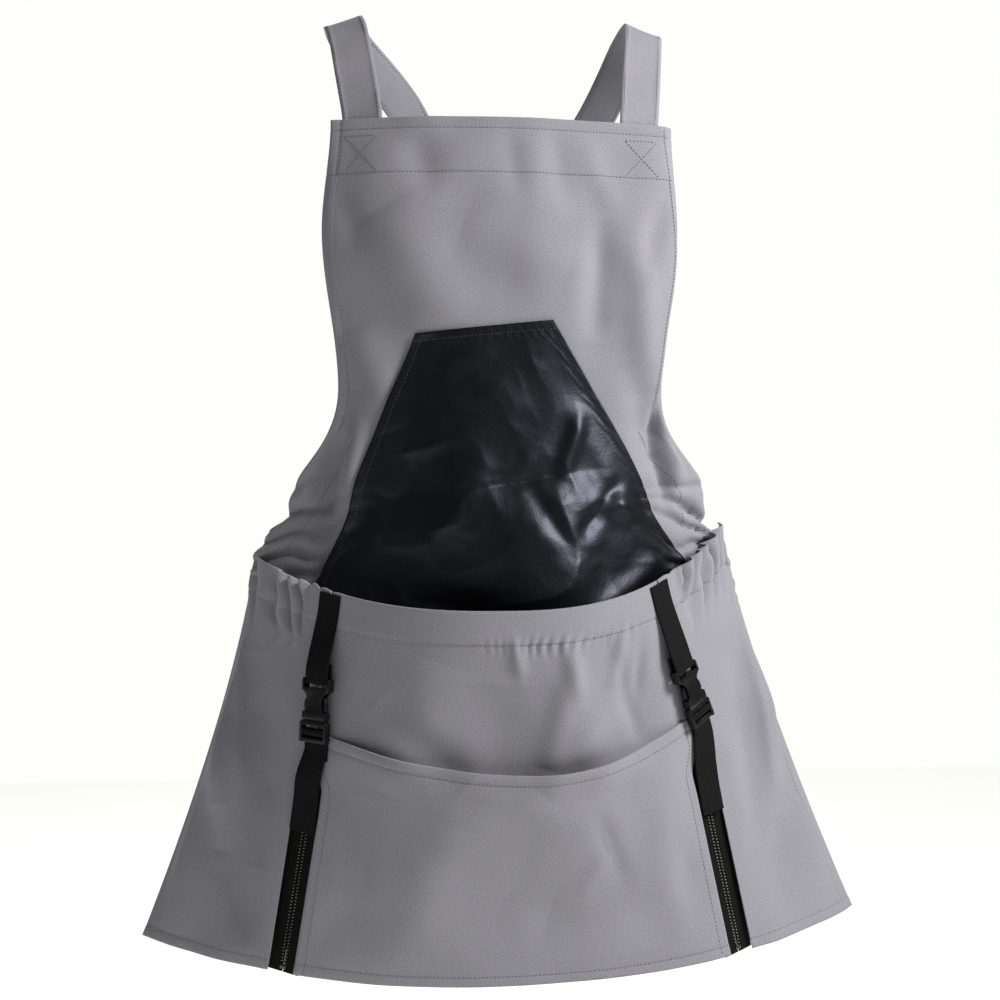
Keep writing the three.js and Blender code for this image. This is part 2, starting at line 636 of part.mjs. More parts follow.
/** A spring arm: it bows out into the socket's window, and its shoulder catches below. */
function armGeometry(hand) {
  const shape = new THREE.Shape();
  shape.moveTo(hand * 6.8, 0);
  shape.lineTo(hand * 10.4, 0);
  shape.lineTo(hand * 10.4, 5);
  shape.lineTo(hand * 10.7, 8.3);
  shape.lineTo(hand * 12.3, 8.7);
  shape.quadraticCurveTo(hand * 13.6, 13, hand * 12, 17);
  shape.quadraticCurveTo(hand * 10.8, 20, hand * 8.8, 21);
  shape.lineTo(hand * 7.4, 20.4);
  shape.lineTo(hand * 8.4, 13);
  shape.closePath();
  return plate(shape, -1.9, 1.9, 4);
}

/** A buckled strap: upper webbing, socket, plug with its two arms, and lower webbing. */
function addBuckle(name, side, zipFrame) {
  const on = ([x, z], out) => {
    const t = shareAt(x, z);
    return frontPoint(x, t, out);
  };
  const [topX, topZ] = side.top;
  const outward = facing(topX, shareAt(topX, topZ));
  const line = [on(side.top, BUCKLE.standOff), on(side.foot, BUCKLE.standOff)];
  const mouth = line[0].clone().lerp(line[1], 0.62);
  const frame = lineFrame(line[0], line[1], outward);
  frame.position.copy(mouth);
  frame.updateMatrix();
  addMesh(frame, `buckle_socket_${name}`, socketGeometry(), moulded);
  addMesh(frame, `buckle_plug_${name}`, plugGeometry(), moulded);
  for (const hand of [-1, 1]) {
    const part = hand === side.sign ? "outer" : "inner";
    addMesh(frame, `buckle_arm_${name}_${part}`, armGeometry(hand), moulded);
  }

  const buckleX = new THREE.Vector3().setFromMatrixColumn(frame.matrix, 0);
  const local = (y, z) => ({ at: new THREE.Vector3(0, y, z).applyMatrix4(frame.matrix), across: buckleX });
  const lipShare = 0.004;
  const lipAcross = frontPoint(side.lipX + 1, 0.05).sub(frontPoint(side.lipX - 1, 0.05)).normalize();
  const onLip = (t, out) => ({ at: frontPoint(seamX(side, t), t, out), across: lipAcross });
  const turn = BUCKLE.bar + WEBBING.ease + WEBBING.thickness / 2;
  const round = (z, up) => [
    local(-turn, z - up * 0.4),
    local(-turn + 0.7, z + up * (turn - BUCKLE.bar - 0.25)),
    local(0, z + up * (turn - BUCKLE.bar)),
    local(turn - 0.7, z + up * (turn - BUCKLE.bar - 0.25)),
    local(turn, z - up * 0.4),
  ];
  const upper = [
    onLip(lipShare, LAYER),
    onLip(0.06, LAYER),
    onLip(0.12, LAYER + 2.5),
    local(-turn, 46),
    local(-turn, 36),
    ...round(BUCKLE.socketBar, -1),
    local(turn, 42),
    local(turn - 0.6, 50),
  ];
  addMesh(apron, `upper_webbing_${name}`, ribbonGeometry(upper, WEBBING.width, WEBBING.thickness, 44), webbingBlack);

  const zipX = new THREE.Vector3().setFromMatrixColumn(zipFrame.matrix, 0);
  const cover = PULL.axisY - 3.9;
  const onZip = (y, z) => ({ at: new THREE.Vector3(0, y, z).applyMatrix4(zipFrame.matrix), across: zipX });
  const lower = [
    onZip(cover + 0.6, -20),
    onZip(cover, -6),
    onZip(cover - 0.8, 8),
    onZip(cover - 3.4, 28),
    local(turn + 0.4, -28),
    local(turn, -21),
    local(turn, -17),
    local(turn - 0.6, -15.5),
    local(0, -14.4),
    local(-turn + 0.6, -13.3),
    local(-turn, -11.8),
    ...round(BUCKLE.ladderBar, 1),
    local(turn + 0.5, -12),
    local(turn + 1.7, -15.6),
    local(turn + 2.1, -22),
    local(turn + 2.4, -36),
  ];
  addMesh(apron, `lower_webbing_${name}`, ribbonGeometry(lower, WEBBING.width, WEBBING.thickness, 72), webbingBlack);
}

// ---------------------------------------------------------------- assembly

addBodyPanel();
addBibFacing();
addLining();
addCentrePanel();
addPouchFloor();
addPocket();
for (const [name, side] of Object.entries(SIDES)) {
  addSidePanel(name, side);
  addWingBand(name, side);
  const zipFrame = addZip(name, side);
  addBuckle(name, side, zipFrame);
}
addShoulderStrap("left", SIDES.left, 79, 0);
addShoulderStrap("right", SIDES.right, 111, 7);

export default apron;
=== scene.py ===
"""The looks of a canvas artist's smock apron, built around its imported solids.

A bib with crossed shoulder straps, a gathered pouch with a coated lining, a wide patch pocket, and a
buckled strap and a zip at each side. Lengths are in millimetres until a mesh is written in metres.
"""

import logging
import math
from dataclasses import dataclass, field
from enum import Enum
from typing import Callable, Iterator, Sequence

import bmesh
import bpy
import numpy as np
from mathutils import Matrix, Vector


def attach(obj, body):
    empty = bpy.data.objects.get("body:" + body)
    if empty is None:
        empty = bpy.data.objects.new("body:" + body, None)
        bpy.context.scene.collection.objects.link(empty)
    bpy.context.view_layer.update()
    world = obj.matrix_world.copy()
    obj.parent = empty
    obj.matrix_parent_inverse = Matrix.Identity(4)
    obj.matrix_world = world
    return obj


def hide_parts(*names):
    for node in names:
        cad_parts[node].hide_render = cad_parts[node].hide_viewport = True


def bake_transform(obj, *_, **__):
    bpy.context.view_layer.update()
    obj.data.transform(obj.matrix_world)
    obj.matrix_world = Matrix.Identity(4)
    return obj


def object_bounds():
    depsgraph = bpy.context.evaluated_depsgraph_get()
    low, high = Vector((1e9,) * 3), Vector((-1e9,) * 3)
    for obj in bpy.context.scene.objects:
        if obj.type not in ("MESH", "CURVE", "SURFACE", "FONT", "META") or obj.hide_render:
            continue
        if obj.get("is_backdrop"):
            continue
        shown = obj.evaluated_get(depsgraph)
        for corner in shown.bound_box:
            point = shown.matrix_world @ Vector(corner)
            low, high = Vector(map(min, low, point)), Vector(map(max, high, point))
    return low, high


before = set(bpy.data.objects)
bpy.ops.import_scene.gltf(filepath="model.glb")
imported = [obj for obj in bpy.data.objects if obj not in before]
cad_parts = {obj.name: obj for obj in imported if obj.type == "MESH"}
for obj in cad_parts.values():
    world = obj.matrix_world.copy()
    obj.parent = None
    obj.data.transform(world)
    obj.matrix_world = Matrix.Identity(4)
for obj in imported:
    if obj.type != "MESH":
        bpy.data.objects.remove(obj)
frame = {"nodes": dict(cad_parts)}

CAD_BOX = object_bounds()
MM = 0.001
LOG = logging.getLogger("apron")
Array = np.ndarray
Surface = Callable[[Array, Array], Array]


class Hand(Enum):
    """Which side of the apron, as somebody in front of it sees it; the value is the sign of x."""

    LEFT = -1
    RIGHT = 1

    @property
    def word(self) -> str:
        """The side's name, as the solids spell it."""
        return self.name.lower()


# ---------------------------------------------------------------- small shapes of number


def smooth(x: Array, low: float, high: float) -> Array:
    """A smooth step from 0 at low to 1 at high.

    Args:
        x: where to read it.
        low: where the step starts.
        high: where the step ends.

    Returns:
        Values from 0 to 1.
    """
    k = np.clip((x - low) / (high - low), 0, 1)
    return k * k * (3 - 2 * k)


def swell(x: Array, width: float) -> Array:
    """A round bump of height 1 that fades out about width away from zero."""
    return np.exp(-((x / width) ** 2))


def value_noise(x: Array, z: Array, size: float, seed: int) -> Array:
    """Smooth, repeatable random hills.

    Args:
        x: across, in millimetres.
        z: up, in millimetres.
        size: spacing of the hills, in millimetres.
        seed: which of the patterns.

    Returns:
        Heights from about -1 to 1.
    """
    table = np.random.default_rng(seed).uniform(-1, 1, (64, 64))
    u, v = x / size + 1000, z / size + 1000
    i, j = np.floor(u).astype(int), np.floor(v).astype(int)
    fu, fv = u - i, v - j
    fu, fv = fu * fu * fu * (fu * (6 * fu - 15) + 10), fv * fv * fv * (fv * (6 * fv - 15) + 10)
    a, b = table[i % 64, j % 64], table[(i + 1) % 64, j % 64]
    c, d = table[i % 64, (j + 1) % 64], table[(i + 1) % 64, (j + 1) % 64]
    return (a * (1 - fu) + b * fu) * (1 - fv) + (c * (1 - fu) + d * fu) * fv


@dataclass(frozen=True)
class Fold:
    """A soft fold along a line on the cloth: a ridge where its height is positive, else a valley."""

    start: tuple[float, float]
    end: tuple[float, float]
    width: float
    height: float

    def at(self, x: Array, z: Array) -> Array:
        """Height of the fold at a place on the cloth, in millimetres.

        Args:
            x: across the cloth.
            z: up the cloth.

        Returns:
            The height, which fades out towards both ends of the line.
        """
        a, b = np.array(self.start), np.array(self.end)
        line = b - a
        k = ((x - a[0]) * line[0] + (z - a[1]) * line[1]) / (line @ line)
        near = np.clip(k, 0, 1)
        away = np.hypot(x - a[0] - near * line[0], z - a[1] - near * line[1])
        taper = np.sin(np.pi * np.clip(near, 0.02, 0.98)) ** 0.6
        return self.height * taper * swell(away, self.width)


def heights(folds: Sequence[Fold], x: Array, z: Array) -> Array:
    """The sum of several folds at a place on the cloth."""
    return sum((f.at(x, z) for f in folds), np.zeros_like(np.asarray(x, float)))


def hermite(k: Array, span: Array, start: Array, end: Array, leave: Array, arrive: Array) -> Array:
    """A smooth curve between two values, with a set slope at each.

    Args:
        k: share of the way, from 0 to 1.
        span: length of the way.
        start: value at its start.
        end: value at its end.
        leave: slope at its start.
        arrive: slope at its end.

    Returns:
        The values along the way.
    """
    return (
        (2 * k**3 - 3 * k**2 + 1) * start
        + (k**3 - 2 * k**2 + k) * leave * span
        + (3 * k**2 - 2 * k**3) * end
        + (k**3 - k**2) * arrive * span
    )


# ---------------------------------------------------------------- the worn shape


@dataclass(frozen=True)
class Station:
    """A level of the body panel: its height, half width, middle, depths and sideways tilt."""

    z: float
    half: float
    middle: float
    centre: float
    edge: float
    tilt: float


@dataclass(frozen=True)
class Seam:
    """One side's seam line, strap and zip, on the front of the skirt."""

    hand: Hand
    lip_x: float
    zip_x: float
    foot_x: float
    top: tuple[float, float]
    foot: tuple[float, float]


LEFT_SEAM = Seam(Hand.LEFT, -157, -180, -203, (-164, -627), (-168, -676))
RIGHT_SEAM = Seam(Hand.RIGHT, 135, 186, 219, (155, -616), (175, -665))


@dataclass(frozen=True)
class Drape:
    """The worn shape that every sheet of cloth follows."""

    stations: tuple[Station, ...] = (
        Station(-111, 160, 2, -92, -64, 0),
        Station(-218, 167, 1, -104, -62, 0),
        Station(-351, 152, 1, -101, -62, 0),
        Station(-396, 160, 0, -100, -58, 2),
        Station(-500, 225, -5, -100, -21, 15),
    )
    back_hem_z: float = -866
    back_hem_middle: float = 9
    back_hem_centre: float = -88
    back_hem_sag: float = 12
    body_wrap: float = 2.2  # power of the body panel's curve: flat in the middle, steep at its sides
    hem_half: float = 343
    flare: float = 1.29  # power of the skirt's widening
    seam_gap: float = 4  # how far the front's edges lie in front of the body panel's
    lip_z: float = -559
    lip_rise: float = 59
    lip_depth: float = 160
    hem_z: float = -890
    hem_rise: float = 24
    hem_tilt: float = 5
    hem_depth: float = 125
    front_wrap: float = 2.3  # power of the front's curve
    zip_top: float = 0.57  # share of the skirt's length at which the zips start
    zip_slit: float = 0.1  # how far above that the panels part
    opening: float = 23  # gap between the panels along a zip

    @property
    def corner(self) -> Station:
        """The level of the pouch mouth's corners."""
        return self.stations[-1]

    def skirt_half(self, t: Array) -> Array:
        """Half width of the skirt at share t of its length."""
        return self.corner.half + (self.hem_half - self.corner.half) * np.maximum(t, 0) ** self.flare

    def skirt_middle(self, t: Array) -> Array:
        """x of the skirt's middle at share t of its length."""
        return self.corner.middle + (self.back_hem_middle - self.corner.middle) * t

    def level(self, z: Array) -> dict[str, Array]:
        """The body panel's sizes at some heights.

        Args:
            z: the heights, in millimetres.

        Returns:
            half, middle, centre, edge and tilt, each as an array.
        """
        z = np.asarray(z, float)
        zs = np.array([s.z for s in self.stations], float)
        i = np.clip(np.searchsorted(-zs, -z), 1, len(zs) - 1)
        span = zs[i] - zs[i - 1]
        k = np.clip((z - zs[i - 1]) / span, 0, 1)
        t = np.maximum((self.corner.z - z) / (self.corner.z - self.back_hem_z), 0)
        below = {
            "half": self.skirt_half(t),
            "middle": self.skirt_middle(t),
            "centre": self.corner.centre + (self.back_hem_centre - self.corner.centre) * t,
            "edge": np.full_like(t, self.corner.edge),
            "tilt": self.corner.tilt + (self.hem_tilt - self.corner.tilt) * t,
        }
        found = {}
        for key, lower in below.items():
            c = np.array([getattr(s, key) for s in self.stations], float)
            slope = np.zeros_like(c)
            slope[1:-1] = (c[2:] - c[:-2]) / (zs[2:] - zs[:-2])
            upper = hermite(k, span, c[i - 1], c[i], slope[i - 1], slope[i])
            found[key] = np.where(z > self.corner.z, upper, lower)
        return found

    def body(self, x: Array, z: Array, back: Array = 0.0) -> Array:
        """Points of the body panel.

        Args:
            x: across, in millimetres.
            z: up, in millimetres.
            back: how far behind the cloth's middle.

        Returns:
            One row of x, y and z for each point.
        """
        x, z = np.broadcast_arrays(np.asarray(x, float), np.asarray(z, float))
        near = self.level(z)
        at = self.level(z - near["tilt"] * (x - near["middle"]) / near["half"])
        s = (x - at["middle"]) / at["half"]
        turn = at["edge"] - at["centre"]
        y = at["centre"] + turn * np.minimum(np.abs(s), 1.02) ** self.body_wrap
        slope = turn * self.body_wrap * np.abs(s) ** (self.body_wrap - 1) * np.sign(s) / at["half"]
        long = np.hypot(1, slope)
        return np.stack([x - slope / long * back, y + back / long, z], -1)

    def lip(self, s: Array) -> Array:
        """Height of the pouch's lip at share s of the half width."""
        return self.lip_z + self.lip_rise * np.abs(s) ** 2.6 + self.corner.tilt * s * np.abs(s)

    def hem(self, s: Array) -> Array:
        """Height of the front hem at share s of the half width."""
        return self.hem_z + self.hem_rise * np.abs(s) ** 2.2 + self.hem_tilt * s

    def front(self, x: Array, t: Array, out: Array = 0.0) -> Array:
        """Points of the skirt's front.

        Args:
            x: across, in millimetres.
            t: share of the way from the lip to the hem.
            out: how far in front of the cloth's middle.

        Returns:
            One row of x, y and z for each point.
        """
        x, t = np.broadcast_arrays(np.asarray(x, float), np.asarray(t, float))
        half = self.skirt_half(t)
        s = np.clip((x - self.skirt_middle(t)) / half, -1, 1)
        depth = self.lip_depth + (self.hem_depth - self.lip_depth) * t
        side_y = self.corner.edge - self.seam_gap
        y = side_y - depth * (1 - np.abs(s) ** self.front_wrap)
        slope = depth * self.front_wrap * np.abs(s) ** (self.front_wrap - 1) * np.sign(s) / half
        long = np.hypot(1, slope)
        z = self.lip(s) + (self.hem(s) - self.lip(s)) * t
        return np.stack([x + slope / long * out, y - out / long, z], -1)

    def share_at(self, x: float, z: float) -> float:
        """The share of the skirt's length at which its front is at height z."""
        t = 0.4
        for _ in range(12):
            s = (x - self.skirt_middle(t)) / self.skirt_half(t)
            t = (z - self.lip(s)) / (self.hem(s) - self.lip(s))
        return float(t)

    def facing(self, x: float, t: float) -> Vector:
        """The direction in which the skirt's front faces."""
        return Vector(self.front(x, t, 1.0) - self.front(x, t, 0.0)).normalized()

    def seam_x(self, seam: Seam, t: Array) -> Array:
        """x of the line where the centre and side panels meet."""
        t = np.asarray(t, float)
        upper = seam.lip_x + (seam.zip_x - seam.lip_x) * t / self.zip_top
        k = (t - self.zip_top) / (1 - self.zip_top)
        return np.where(t < self.zip_top, upper, seam.zip_x + (seam.foot_x - seam.zip_x) * k)

    def seam_half(self, t: Array) -> Array:
        """Half the gap between the centre and side panels."""
        start = self.zip_top - self.zip_slit
        return 0.5 + (self.opening / 2 - 0.5) * smooth(np.asarray(t, float), start - 0.04, start + 0.05)


DRAPE = Drape()

BIB_ROWS = (-120.0, -161.0)  # levels of the two rows of stitches across the bib
HEM_INSET, WING_INSET = 9.2, 29.5  # rows of stitches, in from the body panel's edges
LIP_ROW, HEM_ROW = 0.087, 0.975  # rows of stitches, as shares of the skirt's length
LIP_TURN, HEM_TURN = 0.0905, 0.970  # where the cloth turned in behind them ends
PROUD = 0.7  # how far stitches stand off the middle of the cloth they are sewn to


@dataclass(frozen=True)
class Creases:
    """The folds, puckers and gathers of the canvas, as heights over the smooth worn shape."""

    deepen: float = 2.1  # how much deeper than listed the canvas's folds are
    roll: float = 1.3  # the same for the soft rolls between them
    bib: tuple[Fold, ...] = (
        Fold((-112, -192), (-48, -305), 34, 4.2),
        Fold((-30, -200), (10, -330), 40, -2.4),
        Fold((92, -200), (84, -318), 13, -3.0),
        Fold((124, -215), (132, -365), 15, 3.2),
        Fold((46, -118), (56, -188), 13, -1.2),
        Fold((4, -120), (14, -186), 11, -0.8),
        Fold((-80, -124), (-66, -192), 13, -0.9),
        Fold((76, -130), (104, -196), 12, 0.9),
        Fold((-150, -176), (-128, -236), 12, -1.0),
        Fold((150, -180), (128, -252), 11, -2.0),
        Fold((-40, -210), (60, -250), 24, 1.6),
        Fold((156, -120), (150, -400), 44, 5.0),
        Fold((-138, -300), (-96, -400), 20, 2.2),
        Fold((120, -330), (146, -440), 14, -2.6),
        Fold((-150, -395), (-176, -478), 11, -4.5),
        Fold((-128, -380), (-150, -492), 12, 3.2),
        Fold((148, -366), (149, -428), 7, -5.0),
        Fold((149, -414), (168, -466), 7, -5.0),
        Fold((160, -372), (176, -452), 8, 2.2),
        Fold((-143, -396), (-172, -482), 6, -2.6),
    )
    skirt: tuple[Fold, ...] = (
        Fold((-246, -560), (-262, -790), 11, 5.0),
        Fold((-226, -600), (-226, -800), 16, -3.4),
        Fold((-240, -586), (-244, -736), 3.4, 1.0),
        Fold((236, -590), (262, -730), 3.4, 1.0),
        Fold((-292, -700), (-300, -868), 20, 3.0),
        Fold((-262, -740), (-240, -870), 18, -3.0),
        Fold((242, -560), (272, -760), 12, 4.6),
        Fold((224, -600), (250, -800), 14, -3.6),
        Fold((300, -690), (312, -850), 20, 3.0),
        Fold((275, -720), (262, -860), 16, -2.6),
        Fold((40, -600), (86, -720), 22, 2.6),
        Fold((-70, -600), (-104, -720), 26, 2.2),
        Fold((-14, -620), (-20, -720), 30, -2.2),
        Fold((92, -596), (120, -680), 9, -2.2),
        Fold((56, -596), (30, -700), 12, 2.0),
        Fold((100, -640), (20, -716), 16, 2.4),
        Fold((-120, -640), (-40, -712), 18, -2.6),
        Fold((-2, -578), (6, -618), 6, 1.6),
        Fold((46, -580), (58, -640), 8, 2.0),
        Fold((98, -572), (92, -632), 7, 2.2),
        Fold((122, -570), (116, -640), 6, -1.8),
    )
    pocket: tuple[Fold, ...] = (
        Fold((70, -735), (102, -806), 9, -1.8),
        Fold((84, -770), (60, -812), 9, 1.4),
        Fold((-60, -740), (-92, -860), 26, 3.2),
        Fold((20, -730), (8, -862), 30, -2.6),
        Fold((128, -720), (150, -850), 18, 2.4),
        Fold((-130, -720), (-146, -850), 18, -2.0),
    )
    lining: tuple[Fold, ...] = (
        Fold((20, -440), (54, -650), 66, 34),
        Fold((74, -372), (48, -446), 8, 5),
        Fold((72, -468), (166, -466), 12, 7),
        Fold((150, -520), (70, -570), 12, 6),
        Fold((-30, -380), (-60, -560), 40, 8),
        Fold((20, -450), (60, -520), 10, -5),
        Fold((110, -440), (60, -500), 8, -5),
    )

    def on_body(self, x: Array, z: Array) -> Array:
        """How far the body panel stands in front of the smooth shape.

        Args:
            x: across, in millimetres.
            z: up, in millimetres.

        Returns:
            The height forwards, in millimetres.
        """
        at = DRAPE.level(z)
        s = (x - at["middle"]) / at["half"]
        soft = 2.6 * value_noise(x, z, 84, 3) + 1.1 * value_noise(x, z, 37, 5)
        calm = (self.deepen * heights(self.bib, x, z) + self.roll * soft) * (1 - 0.5 * smooth(-z, 500, 600))
        wing = smooth(-z, 425, 480) * smooth(-z, 575, 505)
        down = z + 0.3 * np.abs(x) + 13 * value_noise(x, z, 34, 8)
        puffs = 2 * np.abs(np.sin(np.pi * down / 19)) - 1
        gather = puffs * (swell(1 - np.abs(s), 0.13) + 0.35 * swell(0.82 - np.abs(s), 0.16))
        edge = at["half"] * (1 - np.abs(s))
        band = np.where((z > -400) | (z <= -500), HEM_INSET, WING_INSET)
        hems = 0.6 * np.maximum(smooth(band + 1.5 - edge, 0, 1.3), smooth(z, -162.6, -161.3))
        rows = swell(edge - band, 1.2) + swell(z - BIB_ROWS[0], 1.2) + swell(z - BIB_ROWS[1], 1.2)
        return calm * smooth(1 - np.abs(s), 0, 0.05) + 4.6 * wing * gather + (hems - 0.5 * rows)

    def on_front(self, x: Array, t: Array) -> Array:
        """How far the skirt's front stands in front of the smooth shape.

        Args:
            x: across, in millimetres.
            t: share of the way from the lip to the hem.

        Returns:
            The height outwards, in millimetres.
        """
        place = DRAPE.front(x, t)
        z = place[..., 2]
        s = (x - DRAPE.skirt_middle(t)) / DRAPE.skirt_half(t)
        clear = np.ones_like(z)
        for seam in (LEFT_SEAM, RIGHT_SEAM):
            clear *= smooth(np.abs(x - DRAPE.seam_x(seam, t)), 15, 42)
        soft = 3.0 * value_noise(x, z, 90, 13) + 1.3 * value_noise(x, z, 42, 15)
        calm = self.deepen * heights(self.skirt, x, z) + self.roll * soft * smooth(t, 0.03, 0.3)
        outside = smooth(np.abs(s), 0.56, 0.74)
        reach = swell(np.maximum(t - 0.012, 0), 0.07) + 0.42 * swell(t - 0.1, 0.06)
        calmer = 1 - 0.5 * smooth(np.abs(s), 0.86, 0.97)
        lift = 3 * swell(t, 0.05) * smooth(1 - np.abs(s), 0.02, 0.2)
        gather = outside * ((5.8 + 2 * (x > 0)) * calmer * self.puffs(x, t) * np.minimum(reach, 1) + lift)
        pucker = 0.8 * np.sin(x * 2 * np.pi / 9 + 5 * value_noise(x, z, 22, 4)) * swell(t - 0.092, 0.022)
        pucker *= (1 - outside) * smooth(x, -50, 20) * (0.5 + value_noise(x, 0.3 * z, 26, 6))
        rim = smooth(1 - np.abs(s), 0, 0.04)
        long = DRAPE.lip_z - DRAPE.hem_z
        hems = 0.6 * np.maximum(smooth(LIP_TURN - t, 0, 0.004), smooth(t, HEM_TURN, HEM_TURN + 0.004))
        rows = swell((t - LIP_ROW) * long, 1.3) + swell((t - HEM_ROW) * long, 1.3)
        panels = (calm * smooth(t, 0, 0.12) + pucker) * clear * rim
        return panels + gather * smooth(clear, 0, 0.4) + (hems - 0.5 * rows)

    def puffs(self, x: Array, t: Array) -> Array:
        """Round puffs with sharp creases between them, of uneven width, beside the mouth."""
        s = (x - DRAPE.skirt_middle(t)) / DRAPE.skirt_half(t)
        along = np.abs(x - DRAPE.skirt_middle(t)) * (1 + 0.5 * np.abs(s) ** 2)
        level = -300 * t
        along = along + 19 * value_noise(x, level, 39, 21) + 5 * value_noise(x, level, 15, 22)
        uneven = 0.85 + 0.45 * value_noise(x, 0.4 * level, 23, 25)
        return (2 * np.abs(np.sin(np.pi * along / 25)) - 1) * uneven

    def on_lip(self, x: Array, t: Array) -> Array:
        """How far the gathers lift and drop the lip's edge, in millimetres."""
        s = (x - DRAPE.skirt_middle(t)) / DRAPE.skirt_half(t)
        calmer = 1 - 0.75 * smooth(np.abs(s), 0.82, 0.95)
        return 2.4 * calmer * self.puffs(x, t) * smooth(np.abs(s), 0.6, 0.78) * swell(t, 0.05)


CREASES = Creases()


# ---------------------------------------------------------------- finishes

BAND = 0.314  # how far apart a wave texture's bands lie at a scale of 1


def linear(code: str) -> tuple[float, float, float, float]:
    """An sRGB hex colour as the linear values that a shader takes."""
    parts = [int(code[i : i + 2], 16) / 255 for i in (0, 2, 4)]
    return (*[c / 12.92 if c <= 0.04045 else ((c + 0.055) / 1.055) ** 2.4 for c in parts], 1.0)


def add(
    tree: bpy.types.NodeTree, kind: str, inputs: dict, out: int | str = 0, **settings
) -> bpy.types.NodeSocket | None:
    """Adds a shader node.

    Args:
        tree: the material's node tree.
        kind: the node's type, after the word ShaderNode.
        inputs: socket name or number to a value, or to the output that feeds it.
        out: name or number of the output that is wanted.
        **settings: the node's own properties.

    Returns:
        The output, or None from a node that has none.
    """
    node = tree.nodes.new(f"ShaderNode{kind}")
    for name, value in settings.items():
        setattr(node, name, value)
    for name, value in inputs.items():
        if isinstance(value, bpy.types.NodeSocket):
            tree.links.new(value, node.inputs[name])
        else:
            node.inputs[name].default_value = value
    return node.outputs[out] if node.outputs else None


def cloth_place(tree: bpy.types.NodeTree) -> bpy.types.NodeSocket:
    """Where a point lies on the flat cut of its cloth, in millimetres."""
    uv = add(tree, "UVMap", {}, uv_map="cloth")
    return add(tree, "Mapping", {"Vector": uv, "Scale": (1000, 1000, 1000)})


def new_material(name: str, sockets: Callable[[bpy.types.NodeTree], dict]) -> bpy.types.Material:
    """A material with one Principled shader.

    Args:
        name: the material's name.
        sockets: adds the patterns to the node tree, and gives the shader's sockets.

    Returns:
        The material.
    """
    material = bpy.data.materials.new(name)
    material.use_nodes = True
    tree = material.node_tree
    tree.nodes.clear()
    add(tree, "OutputMaterial", {"Surface": add(tree, "BsdfPrincipled", sockets(tree))})
    return material


@dataclass(frozen=True)
class Finish:
    """What every finish has: a name, a deep and a pale tone, and the slot that it fills."""

    name: str
    shade: str
    light: str
    slot: str

    @property
    def tones(self) -> dict:
        """The two tones, as a Mix node takes them."""
        return {6: linear(self.shade), 7: linear(self.light)}

    def sockets(self, tree: bpy.types.NodeTree) -> dict:
        """Adds the finish's patterns to a tree, and gives its shader's sockets."""
        raise NotImplementedError(self.name)

    def build(self) -> bpy.types.Material:
        """Returns the material."""
        return new_material(self.name, self.sockets)


@dataclass(frozen=True)
class Canvas(Finish):
    """Plain-weave cotton canvas, piece-dyed: matt, faintly heathered, with a fine thread grain."""

    name: str = "dyed_cotton_canvas"
    shade: str = "6f6e76"
    light: str = "97969f"
    slot: str = "canvas"
    thread: float = 1.3  # pitch of the drawn threads in mm; the real 0.5 mm would not show
    slub: float = 1.5  # length of the uneven stretches of yarn, in mm
    patch: float = 62.5  # size of the patches that took the dye unevenly, in mm

    def sockets(self, tree: bpy.types.NodeTree) -> dict:
        """Threads both ways, uneven yarn and broad faint patches."""
        place = cloth_place(tree)
        threads = {"Vector": place, "Scale": BAND / self.thread, "Distortion": 0.6, "Detail": 1.0}
        warp = add(tree, "TexWave", threads, "Fac")
        weft = add(tree, "TexWave", threads, "Fac", bands_direction="Y")
        weave = add(tree, "Math", {0: warp, 1: weft}, operation="MULTIPLY")
        slub = add(tree, "TexNoise", {"Vector": place, "Scale": 1 / self.slub, "Detail": 3.0}, "Fac")
        patch = add(tree, "TexNoise", {"Vector": place, "Scale": 1 / self.patch, "Detail": 2.0}, "Fac")
        yarn = add(tree, "Math", {0: slub, 1: 1.3, 2: -0.24}, operation="MULTIPLY_ADD")
        dye = add(tree, "Math", {0: patch, 1: 0.22, 2: yarn}, operation="MULTIPLY_ADD")
        tone = add(tree, "Math", {0: weave, 1: 0.02, 2: dye}, operation="MULTIPLY_ADD")
        height = add(tree, "Math", {0: weave, 1: 0.12, 2: slub}, operation="MULTIPLY_ADD")
        return {
            "Base Color": add(tree, "Mix", {"Factor": tone, **self.tones}, 2, data_type="RGBA"),
            "Normal": add(tree, "Bump", {"Height": height, "Strength": 0.4, "Distance": 0.0004}),
            "Roughness": 0.92,
            "Specular IOR Level": 0.25,
            "Sheen Weight": 0.12,
            "Sheen Roughness": 0.5,
        }


@dataclass(frozen=True)
class CoatedNylon(Finish):
    """Thin woven nylon with a polyurethane coat: near black, with a soft blue-grey gleam on creases."""

    name: str = "coated_nylon"
    shade: str = "030304"
    light: str = "08090b"
    slot: str = "coated_lining"
    crumple: float = 0.07  # crumples to a millimetre
    grain: float = 0.6  # grains of the coat to a millimetre

    def sockets(self, tree: bpy.types.NodeTree) -> dict:
        """Crumples, and the fine uneven grain of the coat over them."""
        place = cloth_place(tree)
        broad = {"Vector": place, "Scale": self.crumple, "Detail": 5.0, "Roughness": 0.55}
        crumple = add(tree, "TexNoise", broad, "Fac")
        grain = add(tree, "TexNoise", {"Vector": place, "Scale": self.grain, "Detail": 3.0}, "Fac")
        under = add(tree, "Bump", {"Height": crumple, "Strength": 0.15, "Distance": 0.004})
        coat = {"Height": grain, "Strength": 0.2, "Distance": 0.0006, "Normal": under}
        return {
            "Base Color": add(tree, "Mix", {"Factor": crumple, **self.tones}, 2, data_type="RGBA"),
            "Normal": add(tree, "Bump", coat),
            "Roughness": add(tree, "MapRange", {"Value": grain, "To Min": 0.38, "To Max": 0.46}),
            "Specular IOR Level": 0.38,
            "Specular Tint": linear("dfe4ff"),
        }


